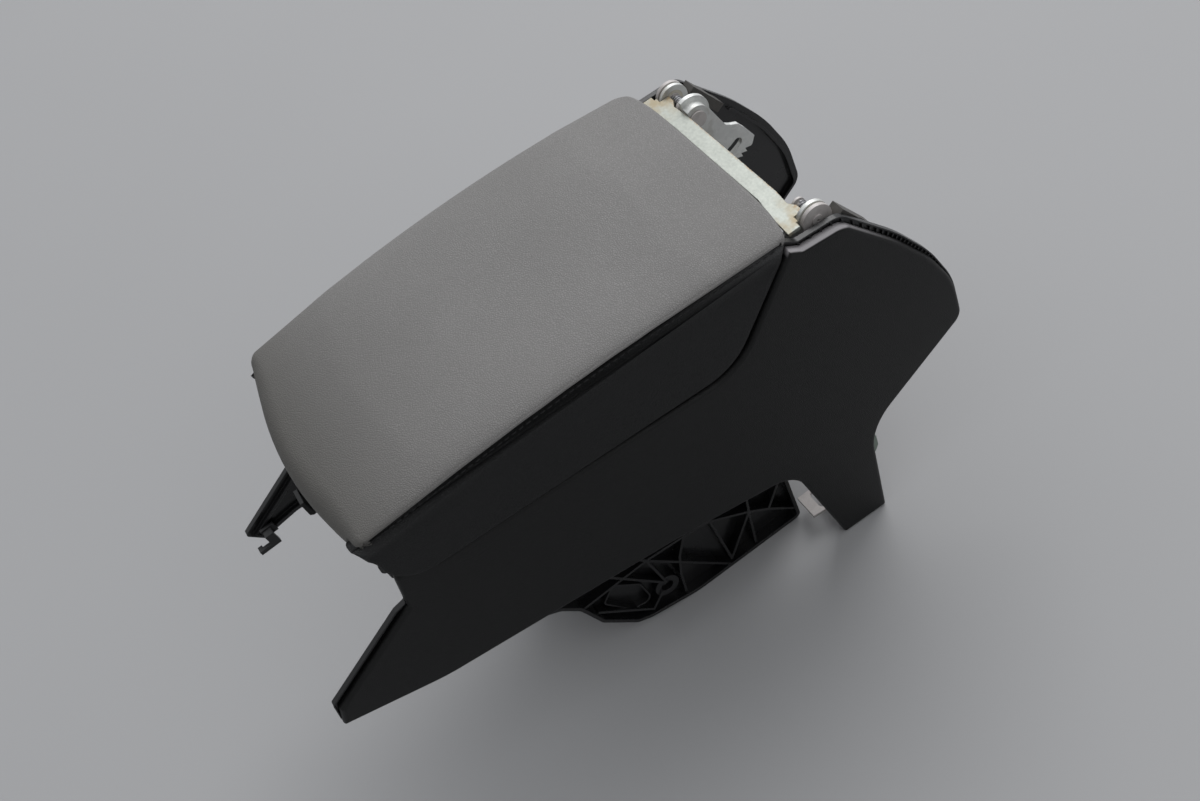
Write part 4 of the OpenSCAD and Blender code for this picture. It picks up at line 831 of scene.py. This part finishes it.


# Top leather: painted shade, the colour darkens towards the front end and the front roll.
LEATHER_TOP = leather(
    "leather_grey", light=(0.235, 0.228, 0.222), dark=(0.205, 0.199, 0.193), cells=820.0,
    roughness=0.52, height=0.00022, shine=0.42, painted_light_tone=(0.078, 0.074, 0.064),
    axis="Y", span=(PAD_FRONT + 150, PAD_FRONT - 14), fade=None)
# Side panels: painted sheen, a paler band under the seam that stops just below the groove.
LEATHER_SIDE = leather(
    "leather_black", light=(0.0085, 0.0087, 0.0090), dark=(0.0068, 0.0070, 0.0072), cells=820.0,
    roughness=0.48, height=0.00020, shine=0.32, painted_light_tone=(0.085, 0.085, 0.086),
    axis="Z", span=(SEAM_H - 15, SEAM_H - 2), fade=(SEAM_H - 1.4, SEAM_H - 3.2))
SKIN = skin_material((0.0052, 0.0053, 0.0053), 0.46)
GLOSS = moulded("black_gloss", (0.006, 0.006, 0.0065), 0.26, edge=0.0008, specks=0.5, scratches=0.00012)
MATT = moulded("black_matt", (0.012, 0.012, 0.0125), 0.45, edge=0.0005, specks=0.3)
RUBBER = moulded("rubber_black", (0.010, 0.010, 0.010), 0.62, edge=0.0004)
THREAD = moulded("thread_black", (0.008, 0.008, 0.0085), 0.75, edge=0.0)
BUSH = moulded("bush_cream", (0.55, 0.52, 0.44), 0.45, edge=0.0003)
CLIP_CLEAR = moulded("clip_grey_green", (0.20, 0.25, 0.21), 0.35, edge=0.0004)
ZINC = metal("zinc_steel", (0.74, 0.75, 0.73), (0.30, 0.26, 0.19), 0.42, metallic=0.6)
STEEL = metal("grey_steel", (0.56, 0.53, 0.515), (0.22, 0.19, 0.17), 0.5, metallic=0.25)
SPRING = metal("spring_steel", (0.30, 0.30, 0.31), (0.10, 0.09, 0.08), 0.35, metallic=0.95)
CLIP_DARK = metal("clip_steel", (0.085, 0.080, 0.074), (0.04, 0.036, 0.032), 0.42, metallic=0.4)
BAR = bar_metal()

BY_SLOT = {
    "leather_top": LEATHER_TOP, "leather_side": LEATHER_SIDE, "foam": MATT, "black_plastic": MATT,
    "gloss_black": GLOSS, "trim_skin": SKIN, "zinc_steel": ZINC, "grey_steel": STEEL,
    "spring_steel": SPRING, "clip_steel": CLIP_DARK, "rubber": RUBBER, "bush_plastic": BUSH,
    "clip_plastic": CLIP_CLEAR,
}
BY_NODE = {"crossbar": BAR}

slot_of = {s["node"]: s["material_slot"] for s in frame["record"]["subparts"]}
for o in bpy.context.scene.objects:
    cad = o.get("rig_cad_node")
    if cad is None or o.type != "MESH":
        continue
    material = BY_NODE.get(cad, BY_SLOT[slot_of[cad]])
    for s in o.material_slots:
        s.material = material

# Pieces

pad_top_leather(LEATHER_TOP)
for label, sign in (("left", 1), ("right", -1)):
    panel = pad_side_leather("pad_side_leather_" + label, sign, LEATHER_SIDE)
    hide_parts("pad_side_cover_" + label)
    stitches("seam_stitches_" + label, sign, THREAD)
    cheek = cheek_panel("cheek_panel_" + label, sign, SKIN)
    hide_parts("cheek_skin_" + label)

# Stage and light

FLOOR_HALF = 6.0
LIGHT_AIM = Vector((0, 0, 0.1))
BRIGHTEST_SKY = (-0.50, 0.45, 0.74)

floor_mesh = bpy.data.meshes.new("floor")
floor_corners = [(FLOOR_HALF * x, FLOOR_HALF * y, 0) for x, y in ((-1, -1), (1, -1), (1, 1), (-1, 1))]
floor_mesh.from_pydata(floor_corners, [], [(0, 1, 2, 3)])
floor = bpy.data.objects.new("floor", floor_mesh)
floor.location.z = -0.0002
bpy.context.scene.collection.objects.link(floor)
floor_mesh.materials.append(floor_material())


def area_light(name, at, size, power):
    """A soft light that faces the part."""
    data = bpy.data.lights.new(name, "AREA")
    data.shape = "RECTANGLE"
    data.size, data.size_y = size
    data.energy = power
    light = bpy.data.objects.new(name, data)
    light.location = at
    light.rotation_euler = (LIGHT_AIM - Vector(at)).to_track_quat("-Z", "Y").to_euler()
    bpy.context.scene.collection.objects.link(light)


area_light("key_far", (-1.8, 2.1, 2.8), (3.0, 2.6), 70)
area_light("fill_right", (2.4, 1.2, 2.0), (1.8, 1.8), 10)

world = bpy.data.worlds.new("world")
bpy.context.scene.world = world
world.use_nodes = True
sky = world.node_tree
sky_up = sky.nodes.new("ShaderNodeVectorMath")
sky_up.operation = "DOT_PRODUCT"
sky_up.inputs[1].default_value = BRIGHTEST_SKY
sky.links.new(sky.nodes.new("ShaderNodeTexCoord").outputs["Generated"], sky_up.inputs[0])
sky_map = sky.nodes.new("ShaderNodeMapRange")
sky.links.new(sky_up.outputs["Value"], sky_map.inputs["Value"])
for label, value in (("From Min", -0.1), ("From Max", 1.0), ("To Min", 0.25), ("To Max", 0.95)):
    sky_map.inputs[label].default_value = value
sky.nodes["Background"].inputs[0].default_value = (0.95, 0.97, 1.0, 1)
sky.links.new(sky_map.outputs["Result"], sky.nodes["Background"].inputs[1])
bpy.context.scene.view_settings.view_transform = "Standard"
